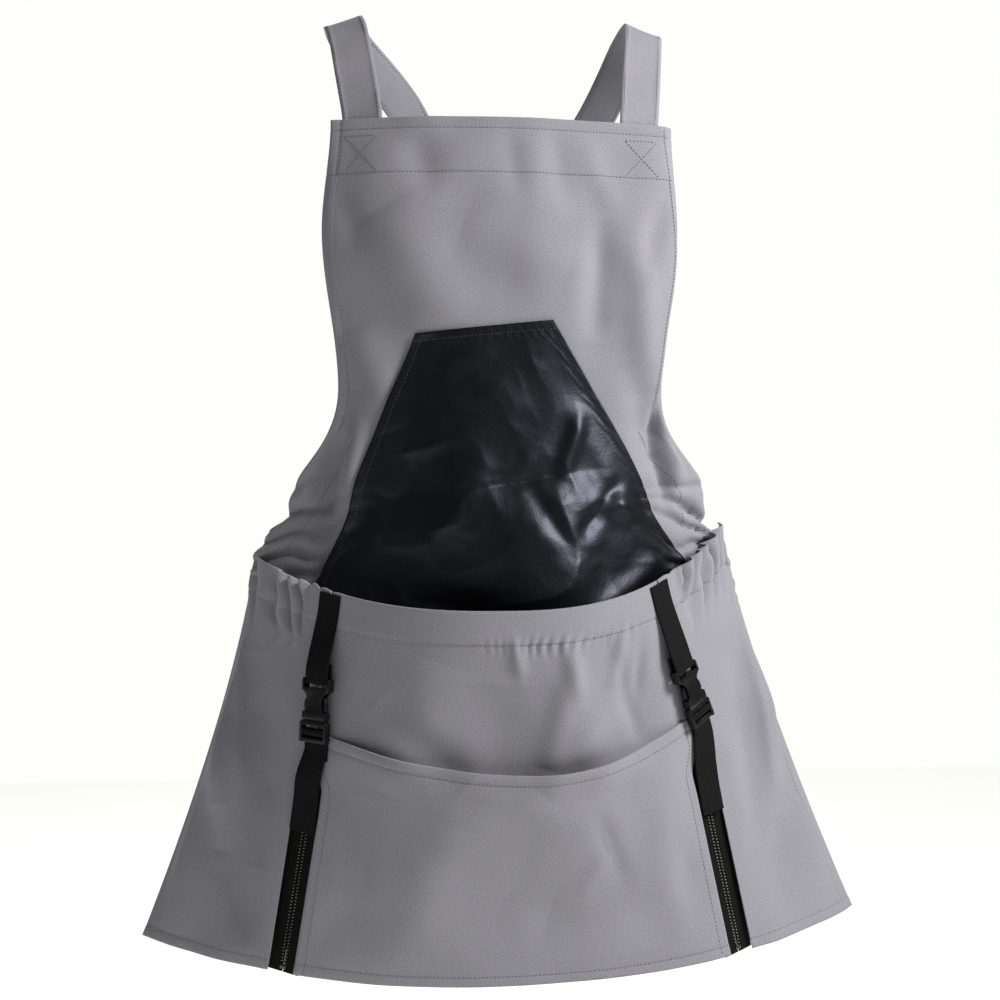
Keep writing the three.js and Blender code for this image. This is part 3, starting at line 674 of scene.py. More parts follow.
@dataclass(frozen=True)
class Webbing(Finish):
    """Woven polypropylene webbing: black, matt, with fine ribs across it and firm edges."""

    name: str = "polypropylene_webbing"
    shade: str = "020202"
    light: str = "1d1e21"
    slot: str = "webbing"
    rib: float = 2.0  # pitch of the drawn ribs in mm; the real 0.8 mm would not show
    yarn: float = 2.6  # width of the drawn yarns in mm; the real 1 mm would not show

    def sockets(self, tree: bpy.types.NodeTree) -> dict:
        """Ribs across the band and yarns along it."""
        place = cloth_place(tree)
        across = {"Vector": place, "Scale": BAND / self.rib, "Distortion": 0.8, "Detail": 1.0}
        along = {"Vector": place, "Scale": BAND / self.yarn, "Distortion": 0.5, "Detail": 1.0}
        ribs = add(tree, "TexWave", across, "Fac", bands_direction="Y")
        yarns = add(tree, "TexWave", along, "Fac")
        weave = add(tree, "Math", {0: ribs, 1: yarns}, operation="MULTIPLY")
        return {
            "Base Color": add(tree, "Mix", {"Factor": weave, **self.tones}, 2, data_type="RGBA"),
            "Normal": add(tree, "Bump", {"Height": weave, "Strength": 0.9, "Distance": 0.0006}),
            "Roughness": 0.8,
            "Specular IOR Level": 0.14,
        }


@dataclass(frozen=True)
class Moulding(Finish):
    """Injection-moulded acetal: black, a low even sheen, the faint grain of a spark-eroded mould."""

    name: str = "moulded_acetal"
    shade: str = "040505"
    light: str = "0a0b0b"
    slot: str = "buckle_plastic"
    roughness: float = 0.34
    gleam: float = 0.32
    grain: float = 900.0  # grains to a metre; the mould's own 0.1 mm grain would not show
    cloud: float = 60.0  # cloudy patches to a metre

    def sockets(self, tree: bpy.types.NodeTree) -> dict:
        """The mould's grain, and a faint cloudiness in the tone."""
        place = add(tree, "TexCoord", {}, "Object")
        grain = add(tree, "TexNoise", {"Vector": place, "Scale": self.grain, "Detail": 2.0}, "Fac")
        cloud = add(tree, "TexNoise", {"Vector": place, "Scale": self.cloud, "Detail": 2.0}, "Fac")
        uneven = {"Value": grain, "To Min": self.roughness - 0.05, "To Max": self.roughness + 0.07}
        return {
            "Base Color": add(tree, "Mix", {"Factor": cloud, **self.tones}, 2, data_type="RGBA"),
            "Normal": add(tree, "Bump", {"Height": grain, "Strength": 0.12, "Distance": 0.0002}),
            "Roughness": add(tree, "MapRange", uneven),
            "IOR": 1.48,
            "Specular IOR Level": self.gleam,
        }


@dataclass(frozen=True)
class ToothMoulding(Moulding):
    """Moulded resin zip teeth: dark grey, with glossy crowns that catch the light."""

    name: str = "moulded_zip_teeth"
    shade: str = "3c3d3c"
    light: str = "9a9c97"
    slot: str = "zip_teeth"
    gleam: float = 0.4


@dataclass(frozen=True)
class Lacquer(Finish):
    """Die-cast zinc under black lacquer: smooth and glossy, worn a little paler where fingers rub."""

    name: str = "lacquered_zinc"
    shade: str = "0d0e0e"
    light: str = "2c2d2e"
    slot: str = "slider_metal"
    rub: float = 260.0  # rubbed patches to a metre

    def sockets(self, tree: bpy.types.NodeTree) -> dict:
        """Small rubbed patches, paler and less even than the rest."""
        place = add(tree, "TexCoord", {}, "Object")
        rub = add(tree, "TexNoise", {"Vector": place, "Scale": self.rub, "Detail": 4.0}, "Fac")
        worn = add(tree, "MapRange", {"Value": rub, "From Min": 0.55, "From Max": 0.75})
        return {
            "Base Color": add(tree, "Mix", {"Factor": worn, **self.tones}, 2, data_type="RGBA"),
            "Roughness": add(tree, "MapRange", {"Value": rub, "To Min": 0.2, "To Max": 0.34}),
            "Coat Weight": 0.6,
            "Coat Roughness": 0.12,
        }


@dataclass(frozen=True)
class Thread(Finish):
    """Spun polyester sewing thread, softly shiny and twisted; its tones, darker than the canvas, are painted
    shade for the shadow in the stitch holes.
    """

    name: str = "polyester_thread"
    # painted shade: both tones lie below the thread's own colour, which is close to the canvas, to stand for
    # the shadow in the pits between stitches
    shade: str = "4f4e54"
    light: str = "6d6c73"
    slot: str = "canvas"
    twist: float = 450.0  # scale of the wave in metres, which gives a turn of the ply each 0.7 mm

    def sockets(self, tree: bpy.types.NodeTree) -> dict:
        """The slanting plies of the twist."""
        place = add(tree, "TexCoord", {}, "Object")
        slant = {"Vector": place, "Scale": self.twist, "Distortion": 2.0}
        ply = add(tree, "TexWave", slant, "Fac", bands_direction="DIAGONAL")
        return {
            "Base Color": add(tree, "Mix", {"Factor": ply, **self.tones}, 2, data_type="RGBA"),
            "Normal": add(tree, "Bump", {"Height": ply, "Strength": 0.4, "Distance": 0.0001}),
            "Roughness": 0.6,
            "Sheen Weight": 0.2,
        }


class Palette:
    """The finishes, each built once."""

    def __init__(self) -> None:
        """Builds every finish."""
        self.finishes: dict[str, Finish] = {
            "canvas": Canvas(),
            "lining": CoatedNylon(),
            "webbing": Webbing(),
            "tape": Webbing("polyester_zip_tape", "060706", "151514", rib=1.1),
            "elastic": Webbing("knitted_elastic", "c9c6bc", "e6e3da", "elastic", rib=1.3),
            "plastic": Moulding(),
            "teeth": ToothMoulding(),
            "lacquer": Lacquer(),
            # the canvas's thread, darkened with painted shade for the shadow in the stitch holes
            "thread": Thread(),
            "black_thread": Thread("black_polyester_thread", "0a0a0b", "26262a", "webbing"),
        }
        self.materials = {key: finish.build() for key, finish in self.finishes.items()}

    def dress(self, piece: bpy.types.Object, key: str) -> None:
        """Gives a piece its finish's material."""
        piece.data.materials.append(self.materials[key])


# ---------------------------------------------------------------- sheets, ribbons and stitches


def put(name: str, bm: bmesh.types.BMesh, smooth_shaded: bool = True) -> bpy.types.Object:
    """Turns a bmesh into an object in the scene.

    Args:
        name: the piece's name.
        bm: the shape, in metres, which is freed.
        smooth_shaded: whether its faces are shaded smooth.

    Returns:
        The object.
    """
    mesh = bpy.data.meshes.new(name)
    bm.to_mesh(mesh)
    bm.free()
    if smooth_shaded:
        mesh.shade_smooth()
    piece = bpy.data.objects.new(name, mesh)
    bpy.context.scene.collection.objects.link(piece)
    return piece


@dataclass
class Cloth:
    """A finished sheet of cloth and what is known of its cut."""

    piece: bpy.types.Object
    node: str
    area: float
    span: tuple[float, float]

    def lay(
        self, palette: "Palette", finish: str, held: str, rests_on: Sequence[str], body: str | None = "apron"
    ) -> None:
        """Gives the sheet its finish and its body, and hides the solid that it stands for.

        Args:
            palette: the finishes.
            finish: the cloth's finish.
            held: how the sheet is held; not used.
            rests_on: the nodes that it rests on; not used.
            body: the body that it rides on, or None for a sheet that rides on no body.
        """
        palette.dress(self.piece, finish)
        if body:
            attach(self.piece, body)
        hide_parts(self.node)
        width, length = (round(x, 4) for x in self.span)
        round(min(self.area, 0.999 * width * length), 6)


def sheet(name: str, across_at: Array, down_at: Array, surface: Surface, thickness: float = 0.9) -> Cloth:
    """A sheet of cloth laid over a surface.

    Args:
        name: the piece's name.
        across_at: grid lines across, from 0 to 1.
        down_at: grid lines down, from 0 to 1.
        surface: takes u and v from 0 to 1 and gives points in millimetres.
        thickness: the cloth's thickness, in millimetres.

    Returns:
        The cloth, which rides on nothing yet.
    """
    columns, rows = len(across_at) - 1, len(down_at) - 1
    u, v = np.meshgrid(across_at, down_at)
    place = surface(u, v)
    across = np.linalg.norm(np.diff(place, axis=1), axis=-1)
    down = np.linalg.norm(np.diff(place, axis=0), axis=-1)
    run_u = np.concatenate([np.zeros((rows + 1, 1)), np.cumsum(across, 1)], 1)
    run_u -= run_u[:, columns // 2 : columns // 2 + 1]
    run_v = np.concatenate([np.zeros((1, columns + 1)), np.cumsum(down, 0)], 0)
    bm = bmesh.new()
    bmesh.ops.create_grid(bm, x_segments=columns, y_segments=rows, size=0.5)
    layer = bm.loops.layers.uv.new("cloth")
    index = {}
    for vert in bm.verts:
        i, j = round((vert.co.x + 0.5) * columns), round((0.5 - vert.co.y) * rows)
        index[vert] = (j, i)
        vert.co = Vector(place[j, i]) * MM
    for face in bm.faces:
        for loop in face.loops:
            j, i = index[loop.vert]
            loop[layer].uv = (run_u[j, i] * MM, -run_v[j, i] * MM)
    piece = put(f"{name}_cloth", bm)
    wall = piece.modifiers.new("thickness", "SOLIDIFY")
    wall.thickness = thickness * MM
    wall.offset = 0
    cells = 0.5 * (across[:-1] + across[1:]) * 0.5 * (down[:, :-1] + down[:, 1:])
    span = (float(across.sum(1).max()) * MM, float(down.sum(0).max()) * MM)
    return Cloth(piece, name, float(cells.sum()) * MM * MM, span)


def smooth_line(points: Sequence[Sequence[float]], count: int) -> Array:
    """A smooth curve through some points, read at even steps.

    Args:
        points: the points, as rows.
        count: how many places to read.

    Returns:
        The places, one row each.
    """
    p = np.asarray(points, float)
    step = np.sqrt(np.linalg.norm(np.diff(p, axis=0), axis=1))
    knot = np.concatenate([[0], np.cumsum(step)])
    slope = np.gradient(p, knot, axis=0)
    at = np.linspace(0, knot[-1], 8 * count)
    i = np.clip(np.searchsorted(knot, at, side="right") - 1, 0, len(p) - 2)
    span = (knot[i + 1] - knot[i])[:, None]
    k = (at - knot[i])[:, None] / span
    fine = hermite(k, span, p[i], p[i + 1], slope[i], slope[i + 1])
    run = np.concatenate([[0], np.cumsum(np.linalg.norm(np.diff(fine[:, :3], axis=0), axis=1))])
    even = np.linspace(0, run[-1], count)
    return np.stack([np.interp(even, run, fine[:, c]) for c in range(p.shape[1])], 1)


@dataclass
class Ribbon:
    """A flat band along a line: where it runs, and which way its width points."""

    stops: list[tuple[Vector, Vector]]
    width: float
    steps: int
    crown: float = 0.3
    line: Array = field(init=False)
    across: Array = field(init=False)
    normal: Array = field(init=False)

    def __post_init__(self) -> None:
        """Works out the line, its width direction and its face direction."""
        rows = smooth_line([(*at, *side) for at, side in self.stops], self.steps + 1)
        self.line = rows[:, :3]
        along = np.gradient(self.line, axis=0)
        along /= np.linalg.norm(along, axis=1, keepdims=True)
        self.normal = np.cross(along, rows[:, 3:])
        self.normal /= np.linalg.norm(self.normal, axis=1, keepdims=True)
        self.across = np.cross(self.normal, along)

    def at(self, u: Array, v: Array, lift: Array = 0.0) -> Array:
        """Points of the band.

        Args:
            u: share of the width.
            v: share of the length.
            lift: distance from the band's middle, along its face direction.

        Returns:
            One row for each point, in millimetres.
        """
        k = np.asarray(v, float) * self.steps
        i = np.clip(np.floor(k).astype(int), 0, self.steps - 1)
        f = (k - i)[..., None]
        mix = lambda a: a[i] * (1 - f) + a[i + 1] * f
        side = (np.asarray(u, float) - 0.5)[..., None]
        rise = self.crown * (1 - (2 * side) ** 2) + np.broadcast_to(lift, i.shape)[..., None]
        return mix(self.line) + mix(self.across) * side * self.width + mix(self.normal) * rise


@dataclass
class Stitching:
    """Rows of lockstitch, all of one thread, gathered into one piece."""

    name: str
    length: float = 2.6
    pitch: float = 3.6
    radius: float = 0.34
    rows: list[Array] = field(default_factory=list)

    def row(self, points: Array) -> None:
        """Adds a row of stitches along points that lie on the cloth's face, in millimetres."""
        self.rows.append(np.asarray(points, float))

    def build(self, palette: Palette, finish: str, body: str) -> bpy.types.Object:
        """Makes every stitch a small bead of thread.

        Args:
            palette: the finishes.
            finish: the thread's finish.
            body: the body that the stitches ride on.

        Returns:
            The piece.
        """
        bm = bmesh.new()
        for points in self.rows:
            run = np.concatenate([[0], np.cumsum(np.linalg.norm(np.diff(points, axis=0), axis=1))])
            at = lambda s: Vector([np.interp(s, run, points[:, c]) for c in range(3)])
            for start in np.arange(0.6, run[-1] - self.length, self.pitch):
                head, tail = at(start), at(start + self.length)
                way = tail - head
                if way.length < 1e-6:
                    continue
                turn = way.to_track_quat("X", "Z").to_matrix().to_4x4()
                size = Matrix.Diagonal((self.length / 2 * 1.05, self.radius, self.radius, 1))
                place = Matrix.Translation((head + tail) / 2 * MM) @ turn @ size
                bmesh.ops.create_icosphere(bm, subdivisions=1, radius=MM, matrix=place)
        piece = put(self.name, bm)
        palette.dress(piece, finish)
        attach(piece, body)
        LOG.info("%s: %d rows", self.name, len(self.rows))
        return piece


def hard_part(node: str, edge: float, palette: Palette, finish: str, body: str) -> bpy.types.Object:
    """A moulded or cast part: its solid with every sharp edge rounded.

    Args:
        node: the solid it stands for.
        edge: the rounding, in millimetres.
        palette: the finishes.
        finish: the part's finish.
        body: the body it rides on.

    Returns:
        The piece.
    """
    bm = bmesh.new()
    bm.from_mesh(frame["nodes"][node].data)
    bmesh.ops.remove_doubles(bm, verts=bm.verts, dist=0.00002)
    bmesh.ops.dissolve_limit(bm, angle_limit=math.radians(2), verts=bm.verts, edges=bm.edges)
    sharp = [e for e in bm.edges if len(e.link_faces) == 2 and e.calc_face_angle() > math.radians(28)]
    bmesh.ops.bevel(
        bm,
        geom=sharp,
        offset=edge * MM,
        offset_type="OFFSET",
        affect="EDGES",
        segments=2,
        profile=0.5,
        material=-1,
        clamp_overlap=True,
    )
    piece = put(f"{node}_moulding", bm)
    piece.data.set_sharp_from_angle(angle=math.radians(40))
    palette.dress(piece, finish)
    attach(piece, body)
    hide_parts(node)
    return piece


def line_frame(top: Vector, foot: Vector, outward: Vector) -> Matrix:
    """A frame whose X runs across, Y into the apron and Z up the line from foot to top."""
    up = (top - foot).normalized()
    across = (-outward).cross(up).normalized()
    back = up.cross(across)
    turned = Matrix((across, back, up)).transposed().to_4x4()
    return Matrix.Translation(top) @ turned


# ---------------------------------------------------------------- the worn cloth

TURN_SHARE = 0.008  # the part of a sheet's length that is the round fold at its top edge
TURN_RADIUS = 0.9  # that fold's radius


def pinch(x: Array, z: Array) -> Array:
    """How far the gathered wings draw in towards the middle, in millimetres."""
    near = DRAPE.level(z)
    s = (x - near["middle"]) / near["half"]
    return 18 * np.sign(s) * np.minimum(np.abs(s), 1.0) ** 3 * swell(z + 478, 25)


def worn_body(x: Array, z: Array, back: Array = 0.0) -> Array:
    """Points of the body panel with its folds.

    Args:
        x: across, in millimetres.
        z: up, in millimetres.
        back: how far behind the cloth's middle.

    Returns:
        One row of x, y and z for each point.
    """
    x, z = np.broadcast_arrays(np.asarray(x, float), np.asarray(z, float))
    place = DRAPE.body(x, z, back - CREASES.on_body(x, z))
    place[..., 0] -= pinch(x, z)
    return place


def worn_front(x: Array, t: Array, out: Array = 0.0) -> Array:
    """Points of the skirt's front with its folds and gathers.

    Args:
        x: across, in millimetres.
        t: share of the way from the lip to the hem.
        out: how far in front of the cloth's middle.

    Returns:
        One row of x, y and z for each point.
    """
    x, t = np.broadcast_arrays(np.asarray(x, float), np.asarray(t, float))
    place = DRAPE.front(x, t, out + CREASES.on_front(x, t))
    place[..., 2] += CREASES.on_lip(x, t)
    return place


def even(count: int) -> Array:
    """Evenly spaced grid lines from 0 to 1."""
    return np.linspace(0, 1, count + 1)


def lines(count: int, rows: Sequence[float], spread: float) -> Array:
    """Grid lines from 0 to 1 that crowd around some rows.

    Args:
        count: faces, before the extra lines.
        rows: where the cloth is stitched.
        spread: half the width of the crowd.

    Returns:
        The lines, in order.
    """
    extra = [r + k * spread for r in rows for k in (-1, -0.5, 0, 0.5, 1)]
    base = [x for x in np.linspace(0, 1, count + 1) if min(abs(x - r) for r in rows) > 1.5 * spread]
    found = np.unique(np.clip(np.array([*base, *extra, 0, 1]), 0, 1))
    return found[np.concatenate([[True], np.diff(found) > 1e-5])]


def turned_lines(rows: Array) -> Array:
    """Grid lines for a sheet whose first part is a round fold."""
    return np.concatenate([np.linspace(0, TURN_SHARE, 8)[:-1], TURN_SHARE + (1 - TURN_SHARE) * rows])


def with_turned_edge(surface: Callable[[Array, Array, Array], Array]) -> Surface:
    """A surface whose top edge turns over; the surface given also takes a distance in front."""

    def whole(u: Array, v: Array) -> Array:
        """The fold, then the surface below it."""
        angle = np.pi * (1 - np.clip(v / TURN_SHARE, 0, 1))
        below = np.clip((v - TURN_SHARE) / (1 - TURN_SHARE), 0, 1)
        place = surface(u, below, TURN_RADIUS * (np.cos(angle) - 1))
        place[..., 2] += TURN_RADIUS * np.sin(angle)
        return place

    return whole


@dataclass
class BodyPanel:
    """The bib and the skirt's back layer, with the bands turned in at its top and wings."""

    top: float = DRAPE.stations[0].z
    facing: float = 49.0
    band: float = 28.0
    wing: tuple[float, float] = (-404.0, -494.0)
    width: float = 320.0
    stitches: Stitching = field(default_factory=lambda: Stitching("body_stitching"))

    def panel(self, u: Array, v: Array, out: Array = 0.0) -> Array:
        """The whole panel, with the skirt's back hem sagging in the middle."""
        s = 2 * u - 1
        z = self.top + (DRAPE.back_hem_z - self.top) * v
        at = DRAPE.level(z)
        place = worn_body(at["middle"] + s * at["half"], z + at["tilt"] * s, -out)
        rim = smooth(np.abs(s), 0.955, 1) * smooth(-z, 500, 512)
        place[..., 1] -= 1.5 * rim
        place[..., 2] -= DRAPE.back_hem_sag * (1 - s * s) * smooth(v, 0.5, 1)
        return place

    def across(self, z: Array, inset: float, hand: Hand, back: float) -> Array:
        """A line down the panel at a set distance from one edge."""
        at = DRAPE.level(z)
        s = hand.value * (at["half"] - inset) / at["half"]
        return worn_body(at["middle"] + s * at["half"], z + at["tilt"] * s, back)

    def bib_facing(self, u: Array, v: Array) -> Array:
        """The band behind the bib's top edge."""
        z = self.top - 0.5 - self.facing * v
        at = DRAPE.level(z)
        return worn_body(at["middle"] + (2 * u - 1) * (at["half"] - 1), z, 4.2)

    def turned_band(self, hand: Hand, inset: float, width: float, back: float) -> Surface:
        """A band behind one wing."""

        def surface(u: Array, v: Array) -> Array:
            """Points of the band."""
            z = self.wing[0] + (self.wing[1] - self.wing[0]) * v
            at = DRAPE.level(z)
            x = hand.value * (at["half"] - inset - width * (u if hand is Hand.LEFT else 1 - u))
            return worn_body(at["middle"] + x, z + at["tilt"] * x / at["half"], back)

        return surface

    def build(self, palette: Palette) -> None:
        """Builds the panel, its bands, its elastic and its stitching."""
        levels = [(self.top - z) / (self.top - DRAPE.back_hem_z) for z in BIB_ROWS]
        hem = HEM_INSET / self.width
        across, down = lines(150, [hem, 1 - hem], 0.006), turned_lines(lines(262, levels, 0.003))
        panel = sheet("body_panel", across, down, with_turned_edge(self.panel))
        panel.lay(palette, "canvas", "hung", ["shoulder_strap_left", "shoulder_strap_right"])
        facing = sheet("bib_facing", even(90), even(14), self.bib_facing)
        facing.lay(palette, "canvas", "folded", ["body_panel"])
        for hand in Hand:
            for kind, inset, width, back, finish, held in (
                ("wing_elastic", 4, self.band - 8, 2.6, "elastic", "stretched"),
                ("wing_facing", 1, self.band, 5.2, "canvas", "gathered"),
            ):
                surface = self.turned_band(hand, inset, width, back)
                band = sheet(f"{kind}_{hand.word}", even(14), even(60), surface)
                band.lay(palette, finish, held, ["body_panel"])
        self.stitch(palette)
        LOG.info("body panel: %.0f x %.0f mm", panel.span[0] * 1000, panel.span[1] * 1000)

    def stitch(self, palette: Palette) -> None:
        """Sews the top band, the side hems and the wings."""
        for z in BIB_ROWS:
            at = DRAPE.level(np.array([z]))
            x = np.linspace(-1, 1, 400) * (at["half"][0] - 1.5) + at["middle"][0]
            self.stitches.row(worn_body(x, np.full_like(x, z), -PROUD))
        for hand in Hand:
            for top, foot, count, inset, back in (
                (-113, -402, 300, HEM_INSET, -PROUD),
                (-399, -497, 160, WING_INSET, -PROUD),
                (-503, -864, 300, HEM_INSET, PROUD),
            ):
                self.stitches.row(self.across(np.linspace(top, foot, count), inset, hand, back))
        u = np.linspace(0.01, 0.99, 400)
        self.stitches.row(self.panel(u[None], np.full_like(u, 0.987)[None], -PROUD)[0])
        self.stitches.build(palette, "thread", "apron")


@dataclass
class Pouch:
    """The lining, the front panels, the bands turned in at the lip, and the floor."""

    lip_edge: float = 0.003
    lip_band: float = 0.09
    elastic: tuple[float, float] = (0.012, 0.078)
    casing_end: float = 0.93
    lining_top: tuple[float, float] = (-81, 44)
    lining_foot: tuple[float, float] = (-213, 256)
    lining_length: float = 340
    lining_row: float = 7.5
    side_row: float = 0.08
    stitches: Stitching = field(default_factory=lambda: Stitching("pouch_stitching"))

    def edges(self, t: Array) -> tuple[Array, Array]:
        """x of the centre panel's two sides."""
        half = DRAPE.seam_half(t)
        return DRAPE.seam_x(LEFT_SEAM, t) + half, DRAPE.seam_x(RIGHT_SEAM, t) - half

    def lining_edges(self, v: Array) -> tuple[Array, Array]:
        """x of the lining's two sides."""
        (left, right), (left_foot, right_foot) = self.lining_top, self.lining_foot
        return left + (left_foot - left) * v, right + (right_foot - right) * v

    def lining(self, u: Array, v: Array, out: float = 0.0) -> Array:
        """The coated lining, crumpled as a stiff, thin cloth crumples."""
        left, right = self.lining_edges(v)
        top = -310 + 13 * u
        x, z = left + (right - left) * u, top + (-650 - top) * v
        ridge = lambda size, seed: 1 - np.abs(value_noise(x + 0.35 * z, z - 0.2 * x, size, seed)) * 1.9
        edge = np.minimum(np.minimum(u, 1 - u) * (right - left), v * self.lining_length)
        broad = 4.6 * smooth(-z, 330, 450) * ridge(84, 31)
        crumple = broad + 1.3 * ridge(38, 32) + 0.2 * ridge(17, 33) + heights(CREASES.lining, x, z)
        fine = 0.3 * np.sin((x + z) * 2 * np.pi / 9 + 2 * value_noise(x, z, 20, 34)) * swell(edge - 8, 5)
        dip = -0.5 * swell(edge - self.lining_row, 1.6)
        return worn_body(x, z, -2.8 - np.maximum(crumple * smooth(edge, 5, 40) + fine + dip, -0.1) - out)

    def centre(self, u: Array, t: Array, out: Array = 0.0) -> Array:
        """The front between the two zips."""
        left, right = self.edges(t)
        return worn_front(left + (right - left) * u, t, out)

    def side(self, seam: Seam) -> Surface:
        """One side of the front, out to the skirt's edge."""
        sign = seam.hand.value

        def surface(u: Array, t: Array, out: Array = 0.0) -> Array:
            """Points of the panel."""
            outer = DRAPE.skirt_middle(t) + sign * DRAPE.skirt_half(t)
            inner = DRAPE.seam_x(seam, t) + sign * DRAPE.seam_half(t)
            k = u if sign < 0 else 1 - u
            x = outer + (inner - outer) * k
            rim = smooth(1 - k, 0.9, 1)
            place = worn_front(x, t, out)
            place[..., 1] += 1.3 * rim
            return place

        return surface

    def band(self, seam: Seam, start: float, end: float, back: float) -> Surface:
        """A band behind a side panel's lip."""
        sign = seam.hand.value

        def surface(u: Array, v: Array) -> Array:
            """Points of the band."""
            t = start + (end - start) * v
            far = DRAPE.skirt_middle(t) + sign * self.casing_end * DRAPE.skirt_half(t)
            near = DRAPE.seam_x(seam, t) + sign * (DRAPE.seam_half(t) + 2)
            k = u if sign < 0 else 1 - u
            return worn_front(far + (near - far) * k, t, -back)

        return surface

    def floor(self, u: Array, v: Array) -> Array:
        """The floor, from the body panel forwards to the front."""
        s = (2 * u[0] - 1) * 0.86
        z = -846 + 26 * s * s
        at = DRAPE.level(z)
        x = at["middle"] + s * at["half"]
        back = DRAPE.body(x, z, -3.0)
        front = np.array([DRAPE.front(a, DRAPE.share_at(a, b), -10.0) for a, b in zip(x, z)])
        place = back + (front - back) * v[:, :1, None]
        place[..., 2] -= 8 * np.sin(np.pi * v) * (1 - s * s)
        return place

    def lip_facing(self, u: Array, v: Array) -> Array:
        """The band turned in along the centre panel's lip."""
        t = self.lip_edge + self.lip_band * v
        left, right = self.edges(t)
        return worn_front(left + 1 + (right - left - 2) * u, t, -1.8)

    def layers(self) -> Iterator[tuple[Cloth, str, str, str]]:
        """Every sheet of the pouch, with its finish, how it is held and what it rests on."""
        rows = turned_lines(lines(190, [LIP_ROW, HEM_ROW], 0.004))
        yield sheet("pouch_lining", even(150), even(170), self.lining, 0.7), "lining", "hung", "body_panel"
        name = "front_centre_panel"
        yield sheet(name, even(200), rows, with_turned_edge(self.centre)), "canvas", "hung", "body_panel"
        yield sheet("lip_facing_centre", even(120), even(12), self.lip_facing), "canvas", "folded", name
        yield sheet("pouch_floor", even(60), even(14), self.floor), "canvas", "hung", "body_panel"
        columns = lines(150, [self.side_row], 0.01)
        for seam in (LEFT_SEAM, RIGHT_SEAM):
            word = seam.hand.word
            name = f"front_side_panel_{word}"
            side = with_turned_edge(self.side(seam))
            yield sheet(name, columns, rows, side), "canvas", "gathered", "body_panel"
            elastic = self.band(seam, *self.elastic, 1.8)
            yield sheet(f"mouth_elastic_{word}", even(70), even(8), elastic), "elastic", "stretched", name
            casing = self.band(seam, self.lip_edge, self.lip_band, 3.6)
            yield sheet(f"casing_facing_{word}", even(90), even(10), casing), "canvas", "gathered", name

    def build(self, palette: Palette) -> None:
        """Builds every sheet of the pouch and its stitching."""
        for cloth, finish, held, rests_on in self.layers():
            cloth.lay(palette, finish, held, [rests_on])
            LOG.info("%s: %.0f x %.0f mm", cloth.node, cloth.span[0] * 1000, cloth.span[1] * 1000)
        self.stitch(palette)
        self.stitch_lining(palette)

    def stitch(self, palette: Palette) -> None:
        """Sews the lip, the hem and the skirt's side edges."""
        u, t = np.linspace(0, 1, 300), np.linspace(0.02, 0.99, 260)
        for share in (LIP_ROW, HEM_ROW):
            self.stitches.row(self.at(self.centre, u, share))
        for seam in (LEFT_SEAM, RIGHT_SEAM):
            side = self.side(seam)
            for share in (LIP_ROW, HEM_ROW):
                self.stitches.row(self.at(side, u, share))
            edge = self.side_row if seam.hand is Hand.LEFT else 1 - self.side_row
            self.stitches.row(side(np.full_like(t, edge)[None], t[None])[0] - np.array([0, 0.6, 0]))
        self.stitches.build(palette, "thread", "apron")

    def stitch_lining(self, palette: Palette) -> None:
        """Sews the lining's rim."""
        rim = Stitching("lining_stitching")
        line = np.linspace(0, 1, 200)
        left, right = self.lining_edges(line)
        inset = self.lining_row / (right - left)
        at = lambda p, q: self.lining(np.array([p]), np.array([q]), 0.5)[0]
        rim.row(at(line, np.full_like(line, self.lining_row / self.lining_length)))
        rim.row(at(inset, line))
        rim.row(at(1 - inset, line))
        rim.build(palette, "black_thread", "apron")

    def at(self, surface: Surface, u: Array, share: float) -> Array:
        """A line across a front panel, just proud of its face."""
        return surface(u[None], np.full_like(u, share)[None])[0] + np.array([0, -0.62, 0])


@dataclass
class Pocket:
    """The wide patch pocket, whose top edge sags open."""

    corner: float = 0.372
    sag: float = 0.056
    belly: float = 19.0  # how far its top edge stands off the centre panel
    inset: float = 1.2
    length: float = 190
    top_row: float = 0.043
    foot_row: float = 0.955
    side_row: float = 0.022
    stitches: Stitching = field(default_factory=lambda: Stitching("pocket_stitching"))

    def surface(self, u: Array, v: Array, out: float = 0.0) -> Array:
        """The pocket, from its top edge to the skirt's hem."""
        gape = np.sin(np.pi * np.clip(u, 0, 1) ** 1.16) ** 1.3
        top = self.corner + self.sag * gape
        t = top + (1 - top) * v
        left = DRAPE.seam_x(LEFT_SEAM, t) + DRAPE.seam_half(t) + self.inset
        right = DRAPE.seam_x(RIGHT_SEAM, t) - DRAPE.seam_half(t) - self.inset
        belly = self.belly * gape * (1 - np.minimum(v * 1.15, 1)) ** 1.4
        x = left + (right - left) * u
        z = DRAPE.front(x, t)[..., 2]
        ease = smooth(np.minimum(u, 1 - u), 0, 0.12) * smooth(1 - v, 0, 0.12)
        own = np.maximum(1.4 * heights(CREASES.pocket, x, z) + 1.6 * value_noise(x, z, 60, 41), -2.5) + 2.5
        roll = -1.2 * swell(v, 0.012) * gape
        dip = -0.5 * swell((v - self.top_row) * self.length, 1.5)
        return worn_front(x, t, 1.9 + belly + own * ease + roll + dip + out)

    def build(self, palette: Palette) -> None:
        """Builds the pocket and its stitching."""
        rows = turned_lines(lines(120, [self.top_row, self.foot_row], 0.006))
        cloth = sheet("lower_pocket", even(200), rows, with_turned_edge(self.surface))
        cloth.lay(palette, "canvas", "hung", ["front_centre_panel"])
        across, down = np.linspace(0, 1, 300), np.linspace(0.01, 0.99, 200)
        row = lambda p, q: self.surface(p[None], q[None], 0.6)[0]
        for share in (self.top_row, self.foot_row):
            self.stitches.row(row(across, np.full_like(across, share)))
        for share in (self.side_row, 1 - self.side_row):
            self.stitches.row(row(np.full_like(down, share), down))
        self.stitches.build(palette, "thread", "apron")
        LOG.info("pocket: %.0f x %.0f mm", cloth.span[0] * 1000, cloth.span[1] * 1000)


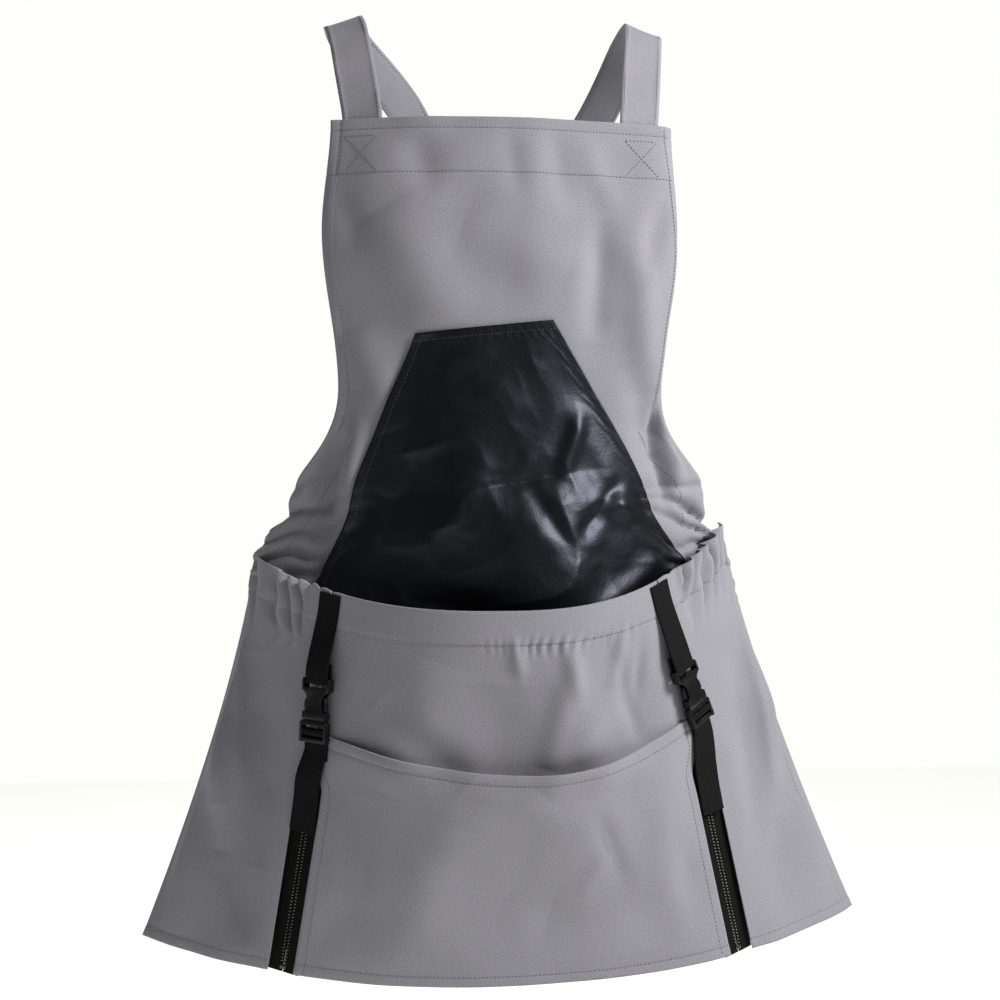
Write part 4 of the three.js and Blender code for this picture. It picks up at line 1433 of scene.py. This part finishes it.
@dataclass
class ShoulderStrap:
    """A strap from the bib over the shoulder, across the back and on to the opposite wing."""

    seam: Seam
    back_x: float
    cross_out: float
    width: float = 38
    pattern: float = 1100  # the length over which its unevenness is laid out
    thickness: float = 1.6
    row: float = 0.08
    bib_x: float = 130
    box: float = 15

    def stops(self) -> list[tuple[Vector, Vector]]:
        """Where the strap runs and which way its width points."""
        hand = self.seam.hand.value
        found = []
        for z in (-157, -145, -133, -121, -114, -108):
            x = hand * self.bib_x
            across = Vector(worn_body(x + 19, z) - worn_body(x - 19, z)).normalized()
            found.append((Vector(worn_body(x, z, 3.1)), across))
        tilt = -hand * DRAPE.corner.tilt
        for at, across in (
            ((135, -58, -66), (1, 0.15, -0.1)),
            ((143, -27, -14), (0.96, 0.08, -0.28)),
            ((147, 0, 0), (0.94, 0, -0.335)),
            ((140, 26, -10), (0.88, -0.1, -0.45)),
            ((self.back_x, 70, -73), (0.78, -0.15, -0.6)),
            ((8, 108 + self.cross_out, -232), (0.74, 0, -0.66)),
            ((-128, 88, -404), (0.55, 0.25, -0.78)),
            ((-188, 52, -473 + tilt * 0.6), (0.2, 0.3, -0.92)),
            ((-220, 16, -495 + tilt), (0, 0.15, -1)),
        ):
            x, z = hand * at[0], np.array(float(at[2]))
            drawn = 1.4 * float(pinch(np.array(float(x)), z)) if at[2] < -440 else 0.0
            place = Vector((x - drawn, at[1], at[2]))
            found.append((place, Vector((hand * across[0], across[1], across[2])).normalized() * hand))
        level = DRAPE.level(np.array([-500.0]))
        for inset in (12, 24, 36):
            x = float(level["middle"][0]) - hand * (float(level["half"][0]) - inset)
            across = Vector(DRAPE.body(x, -519.0) - DRAPE.body(x, -481.0)).normalized() * hand
            found.append((Vector(worn_body(x, -500.0 + tilt, 9.0)) - Vector((4 * -hand, 0, 0)), across))
        return found

    def build(self, palette: Palette) -> None:
        """Builds the strap, its edge stitching and the crossed box that holds it to the bib."""
        word, hand = self.seam.hand.word, self.seam.hand.value
        ribbon = Ribbon(self.stops(), self.width, 200, crown=0.5)

        def surface(u: Array, v: Array) -> Array:
            """The band, a little uneven, with a dip along each row of stitches."""
            uneven = 0.5 * value_noise(u * self.width, v * self.pattern, 26, 51 + hand)
            return ribbon.at(u, v, uneven - 0.3 * swell(np.abs(2 * u - 1) - 0.84, 0.05))

        columns = lines(14, [self.row, 1 - self.row], 0.02)
        cloth = sheet(f"shoulder_strap_{word}", columns, even(260), surface, self.thickness)
        cloth.lay(palette, "canvas", "hung", ["body_panel"])
        stitches = Stitching(f"strap_stitching_{word}")
        v = np.linspace(0.06, 0.96, 900)
        for u in (self.row, 1 - self.row):
            for lift in (-0.95, 0.75):
                stitches.row(ribbon.at(np.full_like(v, u), v, lift))
        left, right = hand * self.bib_x - self.box, hand * self.bib_x + self.box
        for start, end in (
            ((left, -126), (right, -126)),
            ((left, -126), (right, -160)),
            ((right, -126), (left, -160)),
        ):
            line = np.linspace(start, end, 60)
            stitches.row(worn_body(line[:, 0], line[:, 1], -0.72))
        stitches.build(palette, "thread", "apron")
        LOG.info("shoulder strap %s: %.0f mm", word, cloth.span[1] * 1000)


# ---------------------------------------------------------------- zips, buckles and webbing


@dataclass
class Zip:
    """A zip in its seam: two tapes, two rows of moulded teeth, a slider, its pull and a bottom stop."""

    seam: Seam
    behind: float = 4.4
    tape_inner: float = 3.3
    tape_outer: float = 16
    tape_head: float = 28
    tape_foot: float = 2.6
    pitch: float = 3
    cord: float = 0.9  # half the depth of the cord that the teeth are moulded on
    frame: Matrix = field(init=False)
    length: float = field(init=False)

    def __post_init__(self) -> None:
        """Finds the line that the zip follows."""
        head = Vector(DRAPE.front(self.seam.zip_x, DRAPE.zip_top, -self.behind))
        foot = Vector(DRAPE.front(self.seam.foot_x, 1.0, -self.behind))
        outward = DRAPE.facing((self.seam.zip_x + self.seam.foot_x) / 2, (DRAPE.zip_top + 1) / 2)
        self.frame = line_frame(head, foot, outward)
        self.length = (head - foot).length - 1.5

    def local(self, x: float, y: float, z: float) -> Vector:
        """A point of the zip's own frame, in the apron's."""
        return self.frame @ Vector((x, y, z))

    def tape(self, hand: int) -> Surface:
        """One tape, with a slight ease where it is sewn."""

        def surface(u: Array, v: Array) -> Array:
            """Points of the tape."""
            low, high = sorted((hand * self.tape_inner, hand * self.tape_outer))
            z = self.tape_head - (self.tape_head + self.length + self.tape_foot) * v
            x = low + (high - low) * u
            y = 0.25 * np.sin(z / 9.0) * smooth(np.abs(x), 5, 12)
            turned = np.array(self.frame.to_3x3())
            return np.stack([x, y, z], -1) @ turned.T + np.array(self.frame.translation)

        return surface

    def teeth(self, hand: int) -> bmesh.types.BMesh:
        """One row of teeth, each a small block with a wider head, moulded on a black cord.

        Args:
            hand: the side of the zip that the row is on, as the sign of x.

        Returns:
            The row, in metres; slot 0 is the heads' finish and slot 1 the cord's.
        """
        bm = bmesh.new()
        foot = -self.length + 4.4
        phase = 0 if hand > 0 else self.pitch / 2
        for i in range(int((-foot - 1 - phase) // self.pitch)):
            z = foot + 1.2 + phase + i * self.pitch
            for slot, x, size in ((0, 2.0, (1.4, 2.4, 1.0, 1)), (1, 0.35, (2.2, 1.5, 0.9, 1))):
                place = Matrix.Translation(Vector((hand * x, 0, z)) * MM) @ Matrix.Diagonal(size)
                made = bmesh.ops.create_cube(bm, size=MM, matrix=place)
                for face in {f for vert in made["verts"] for f in vert.link_faces}:
                    face.material_index = slot
                edges = list(dict.fromkeys(e for vert in made["verts"] for e in vert.link_edges))
                bmesh.ops.bevel(
                    bm, geom=edges, offset=0.24 * MM, affect="EDGES", segments=1, profile=0.5, material=-1
                )
        last = len(bm.faces)
        deep = self.length + self.tape_foot
        middle = Matrix.Translation(Vector((hand * 1.8, 0.3, -deep / 2)) * MM)
        bmesh.ops.create_cone(
            bm,
            cap_ends=True,
            segments=8,
            radius1=self.cord * MM,
            radius2=self.cord * MM,
            depth=deep * MM,
            matrix=middle @ Matrix.Diagonal((1.75, 0.7, 1, 1)),
        )
        bm.faces.ensure_lookup_table()
        for face in bm.faces[last:]:
            face.material_index = 1
        bmesh.ops.transform(bm, matrix=metres(self.frame), verts=bm.verts)
        return bm

    def build(self, palette: Palette) -> None:
        """Builds the zip's pieces."""
        word = self.seam.hand.word
        for hand in (-1, 1):
            part = "outer" if hand == self.seam.hand.value else "inner"
            name = f"zip_tape_{word}_{part}"
            cloth = sheet(name, even(8), even(120), self.tape(hand), 0.8)
            beside = f"front_side_panel_{word}" if part == "outer" else "front_centre_panel"
            cloth.lay(palette, "tape", "hung", [beside])
            name = f"zip_teeth_{word}_{part}"
            teeth = put(f"{name}_row", self.teeth(hand), False)
            palette.dress(teeth, "teeth")
            teeth.data.materials.append(palette.materials["tape"])
            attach(teeth, "apron")
            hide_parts(name)
        for kind in ("zip_bottom_stop", "zip_slider", "zip_pull"):
            name = f"{kind}_{word}"
            hard_part(name, 0.22, palette, "lacquer", "apron" if kind == "zip_bottom_stop" else name)
        LOG.info("zip %s: %.0f mm", word, self.length)


def metres(matrix: Matrix) -> Matrix:
    """A frame given in millimetres, for a mesh that is written in metres."""
    found = matrix.copy()
    found.translation *= MM
    return found


@dataclass
class Buckle:
    """A buckled strap: upper webbing, socket, plug with its two arms, and lower webbing."""

    seam: Seam
    zip: Zip
    stand_off: float = 8.6
    webbing: float = 25
    turn: float = 2.7
    frame: Matrix = field(init=False)

    def __post_init__(self) -> None:
        """Finds the buckle's frame, whose origin is the mouth of its socket."""
        ends = []
        for x, z in (self.seam.top, self.seam.foot):
            ends.append(Vector(DRAPE.front(x, DRAPE.share_at(x, z), self.stand_off)))
        x, z = self.seam.top
        self.frame = line_frame(ends[0], ends[1], DRAPE.facing(x, DRAPE.share_at(x, z)))
        self.frame.translation = ends[0].lerp(ends[1], 0.62)

    def local(self, y: float, z: float) -> tuple[Vector, Vector]:
        """A stop on the buckle's middle line, as wide as the buckle."""
        return self.frame @ Vector((0, y, z)), self.frame.to_3x3().col[0].copy()

    def round_bar(self, z: float, up: float) -> list[tuple[Vector, Vector]]:
        """Stops around a bar of the buckle."""
        t = self.turn
        return [
            self.local(-t, z - 0.4 * up),
            self.local(-t + 0.7, z + 0.75 * up),
            self.local(0, z + up),
            self.local(t - 0.7, z + 0.75 * up),
            self.local(t, z - 0.4 * up),
        ]

    def upper(self) -> list[tuple[Vector, Vector]]:
        """The upper webbing, from the lip round the socket's bar."""
        side = self.seam.lip_x
        across = Vector(DRAPE.front(side + 1, 0.05) - DRAPE.front(side - 1, 0.05)).normalized()
        on_lip = lambda t, out: (Vector(DRAPE.front(float(DRAPE.seam_x(self.seam, t)), t, out)), across)
        return [
            on_lip(0.004, 1.8),
            on_lip(0.06, 1.8),
            on_lip(0.12, 4.3),
            self.local(-self.turn, 46),
            self.local(-self.turn, 36),
            *self.round_bar(33.2, -1),
            self.local(self.turn, 42),
            self.local(self.turn - 0.6, 50),
        ]

    def lower(self) -> list[tuple[Vector, Vector]]:
        """The lower webbing, from over the zip's head round the ladder's bars."""
        across = self.zip.frame.to_3x3().col[0].copy()
        on_zip = lambda y, z: (self.zip.local(0, y, z), across)
        t = self.turn
        return [
            on_zip(-7.2, -20),
            on_zip(-7.8, -6),
            on_zip(-8.6, 8),
            on_zip(-11.2, 28),
            self.local(t + 0.4, -28),
            self.local(t, -21),
            self.local(t, -17),
            self.local(t - 0.6, -15.5),
            self.local(0, -14.4),
            self.local(-t + 0.6, -13.3),
            self.local(-t, -11.8),
            *self.round_bar(-9, 1),
            self.local(t + 0.5, -12),
            self.local(t + 1.7, -15.6),
            self.local(t + 2.1, -22),
            self.local(t + 2.4, -36),
        ]

    def strap(self, name: str, stops: list[tuple[Vector, Vector]], steps: int) -> Cloth:
        """A length of webbing along some stops."""
        ribbon = Ribbon(stops, self.webbing, steps, crown=0.25)
        return sheet(name, even(12), even(steps * 2), ribbon.at, 1.2)

    def build(self, palette: Palette) -> None:
        """Builds the webbing and the buckle's four mouldings."""
        word = self.seam.hand.word
        plug = f"buckle_plug_{word}"
        upper = self.strap(f"upper_webbing_{word}", self.upper(), 90)
        lower = self.strap(f"lower_webbing_{word}", self.lower(), 130)
        upper.lay(palette, "webbing", "hung", ["front_centre_panel"])
        lower.lay(palette, "webbing", "hung", [plug], None)
        start = self.zip.local(0, -8, -18) * MM
        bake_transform(lower.piece, "apron", plug, start, self.local(self.turn, -37)[0] * MM)
        hard_part(f"buckle_socket_{word}", 0.8, palette, "plastic", "apron")
        hard_part(plug, 0.6, palette, "plastic", plug)
        for part in ("outer", "inner"):
            arm = f"buckle_arm_{word}_{part}"
            hard_part(arm, 0.5, palette, "plastic", arm)
        LOG.info("buckle %s: webbing %.0f and %.0f mm", word, upper.span[1] * 1000, lower.span[1] * 1000)


# ---------------------------------------------------------------- the studio


@dataclass(frozen=True)
class Studio:
    """A pale floor, soft light from the front right, and the camera."""

    distance: float = 1.5
    yaw: float = math.radians(-6)
    aim: tuple[float, float, float] = (0, -0.060, -0.462)
    lens: float = 57.4452
    floor: float = -1.25

    def camera(self) -> None:
        """Puts the camera at the height of the apron's middle, a little to its left."""
        data = bpy.data.cameras.new("camera")
        data.sensor_width = 36
        data.lens = self.lens
        camera = bpy.data.objects.new("camera", data)
        bpy.context.scene.collection.objects.link(camera)
        way = Vector((math.sin(self.yaw), -math.cos(self.yaw), 0))
        camera.location = Vector(self.aim) + self.distance * way
        camera.rotation_euler = (math.radians(90), 0, self.yaw)
        bpy.context.scene.camera = camera

    def area(
        self, name: str, place: tuple[float, float, float], size: float, power: float, tint: str
    ) -> None:
        """A square soft light that looks at the apron.

        Args:
            name: the light's name.
            place: where it stands, in metres.
            size: its side, in metres.
            power: in watts.
            tint: its colour.
        """
        data = bpy.data.lights.new(name, "AREA")
        data.size = size
        data.energy = power
        data.color = linear(tint)[:3]
        lamp = bpy.data.objects.new(name, data)
        bpy.context.scene.collection.objects.link(lamp)
        lamp.location = place
        lamp.rotation_euler = (Vector(place) - Vector(self.aim)).to_track_quat("Z", "Y").to_euler()

    def build(self) -> None:
        """Builds the floor, the world and the lights."""
        bm = bmesh.new()
        bmesh.ops.create_grid(bm, x_segments=1, y_segments=1, size=3.0)
        bmesh.ops.translate(bm, verts=bm.verts, vec=(0, 0, self.floor))
        floor = put("floor", bm, False)
        white = {"Base Color": linear("c8c8c6"), "Roughness": 0.9}
        glow = {"Emission Color": linear("fffffa"), "Emission Strength": 0.82}
        floor.data.materials.append(new_material("white_floor", lambda tree: {**white, **glow}))
        floor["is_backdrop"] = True
        world = bpy.data.worlds.new("studio")
        bpy.context.scene.world = world
        world.use_nodes = True
        tree = world.node_tree
        tree.nodes.clear()
        seen = add(tree, "LightPath", {}, "Is Camera Ray")
        strength = add(tree, "MapRange", {"Value": seen, "To Min": 0.16, "To Max": 1.0})
        sky = add(tree, "Background", {"Color": linear("fefffb"), "Strength": strength})
        add(tree, "OutputWorld", {"Surface": sky})
        self.area("key", (1.28, -0.85, 0.5), 0.6, 48, "fffdfa")
        self.area("rim", (-1.1, 1.7, 0.7), 1.0, 15, "ffffff")
        bpy.context.scene.view_settings.view_transform = "Standard"


def main() -> None:
    """Builds the whole apron and its studio."""
    logging.basicConfig(level=logging.INFO, format="%(name)s: %(message)s")
    studio = Studio()
    studio.camera()
    palette = Palette()
    BodyPanel().build(palette)
    Pouch().build(palette)
    Pocket().build(palette)
    ShoulderStrap(LEFT_SEAM, 79, 0).build(palette)
    ShoulderStrap(RIGHT_SEAM, 111, 7).build(palette)
    for seam in (LEFT_SEAM, RIGHT_SEAM):
        zipper = Zip(seam)
        zipper.build(palette)
        Buckle(seam, zipper).build(palette)
    studio.build()
    box = lambda corners: [list(map(float, c)) for c in corners]
    boxes = {"solids": box(CAD_BOX), "looks": box(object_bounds())}


if __name__ == "__main__":
    main()
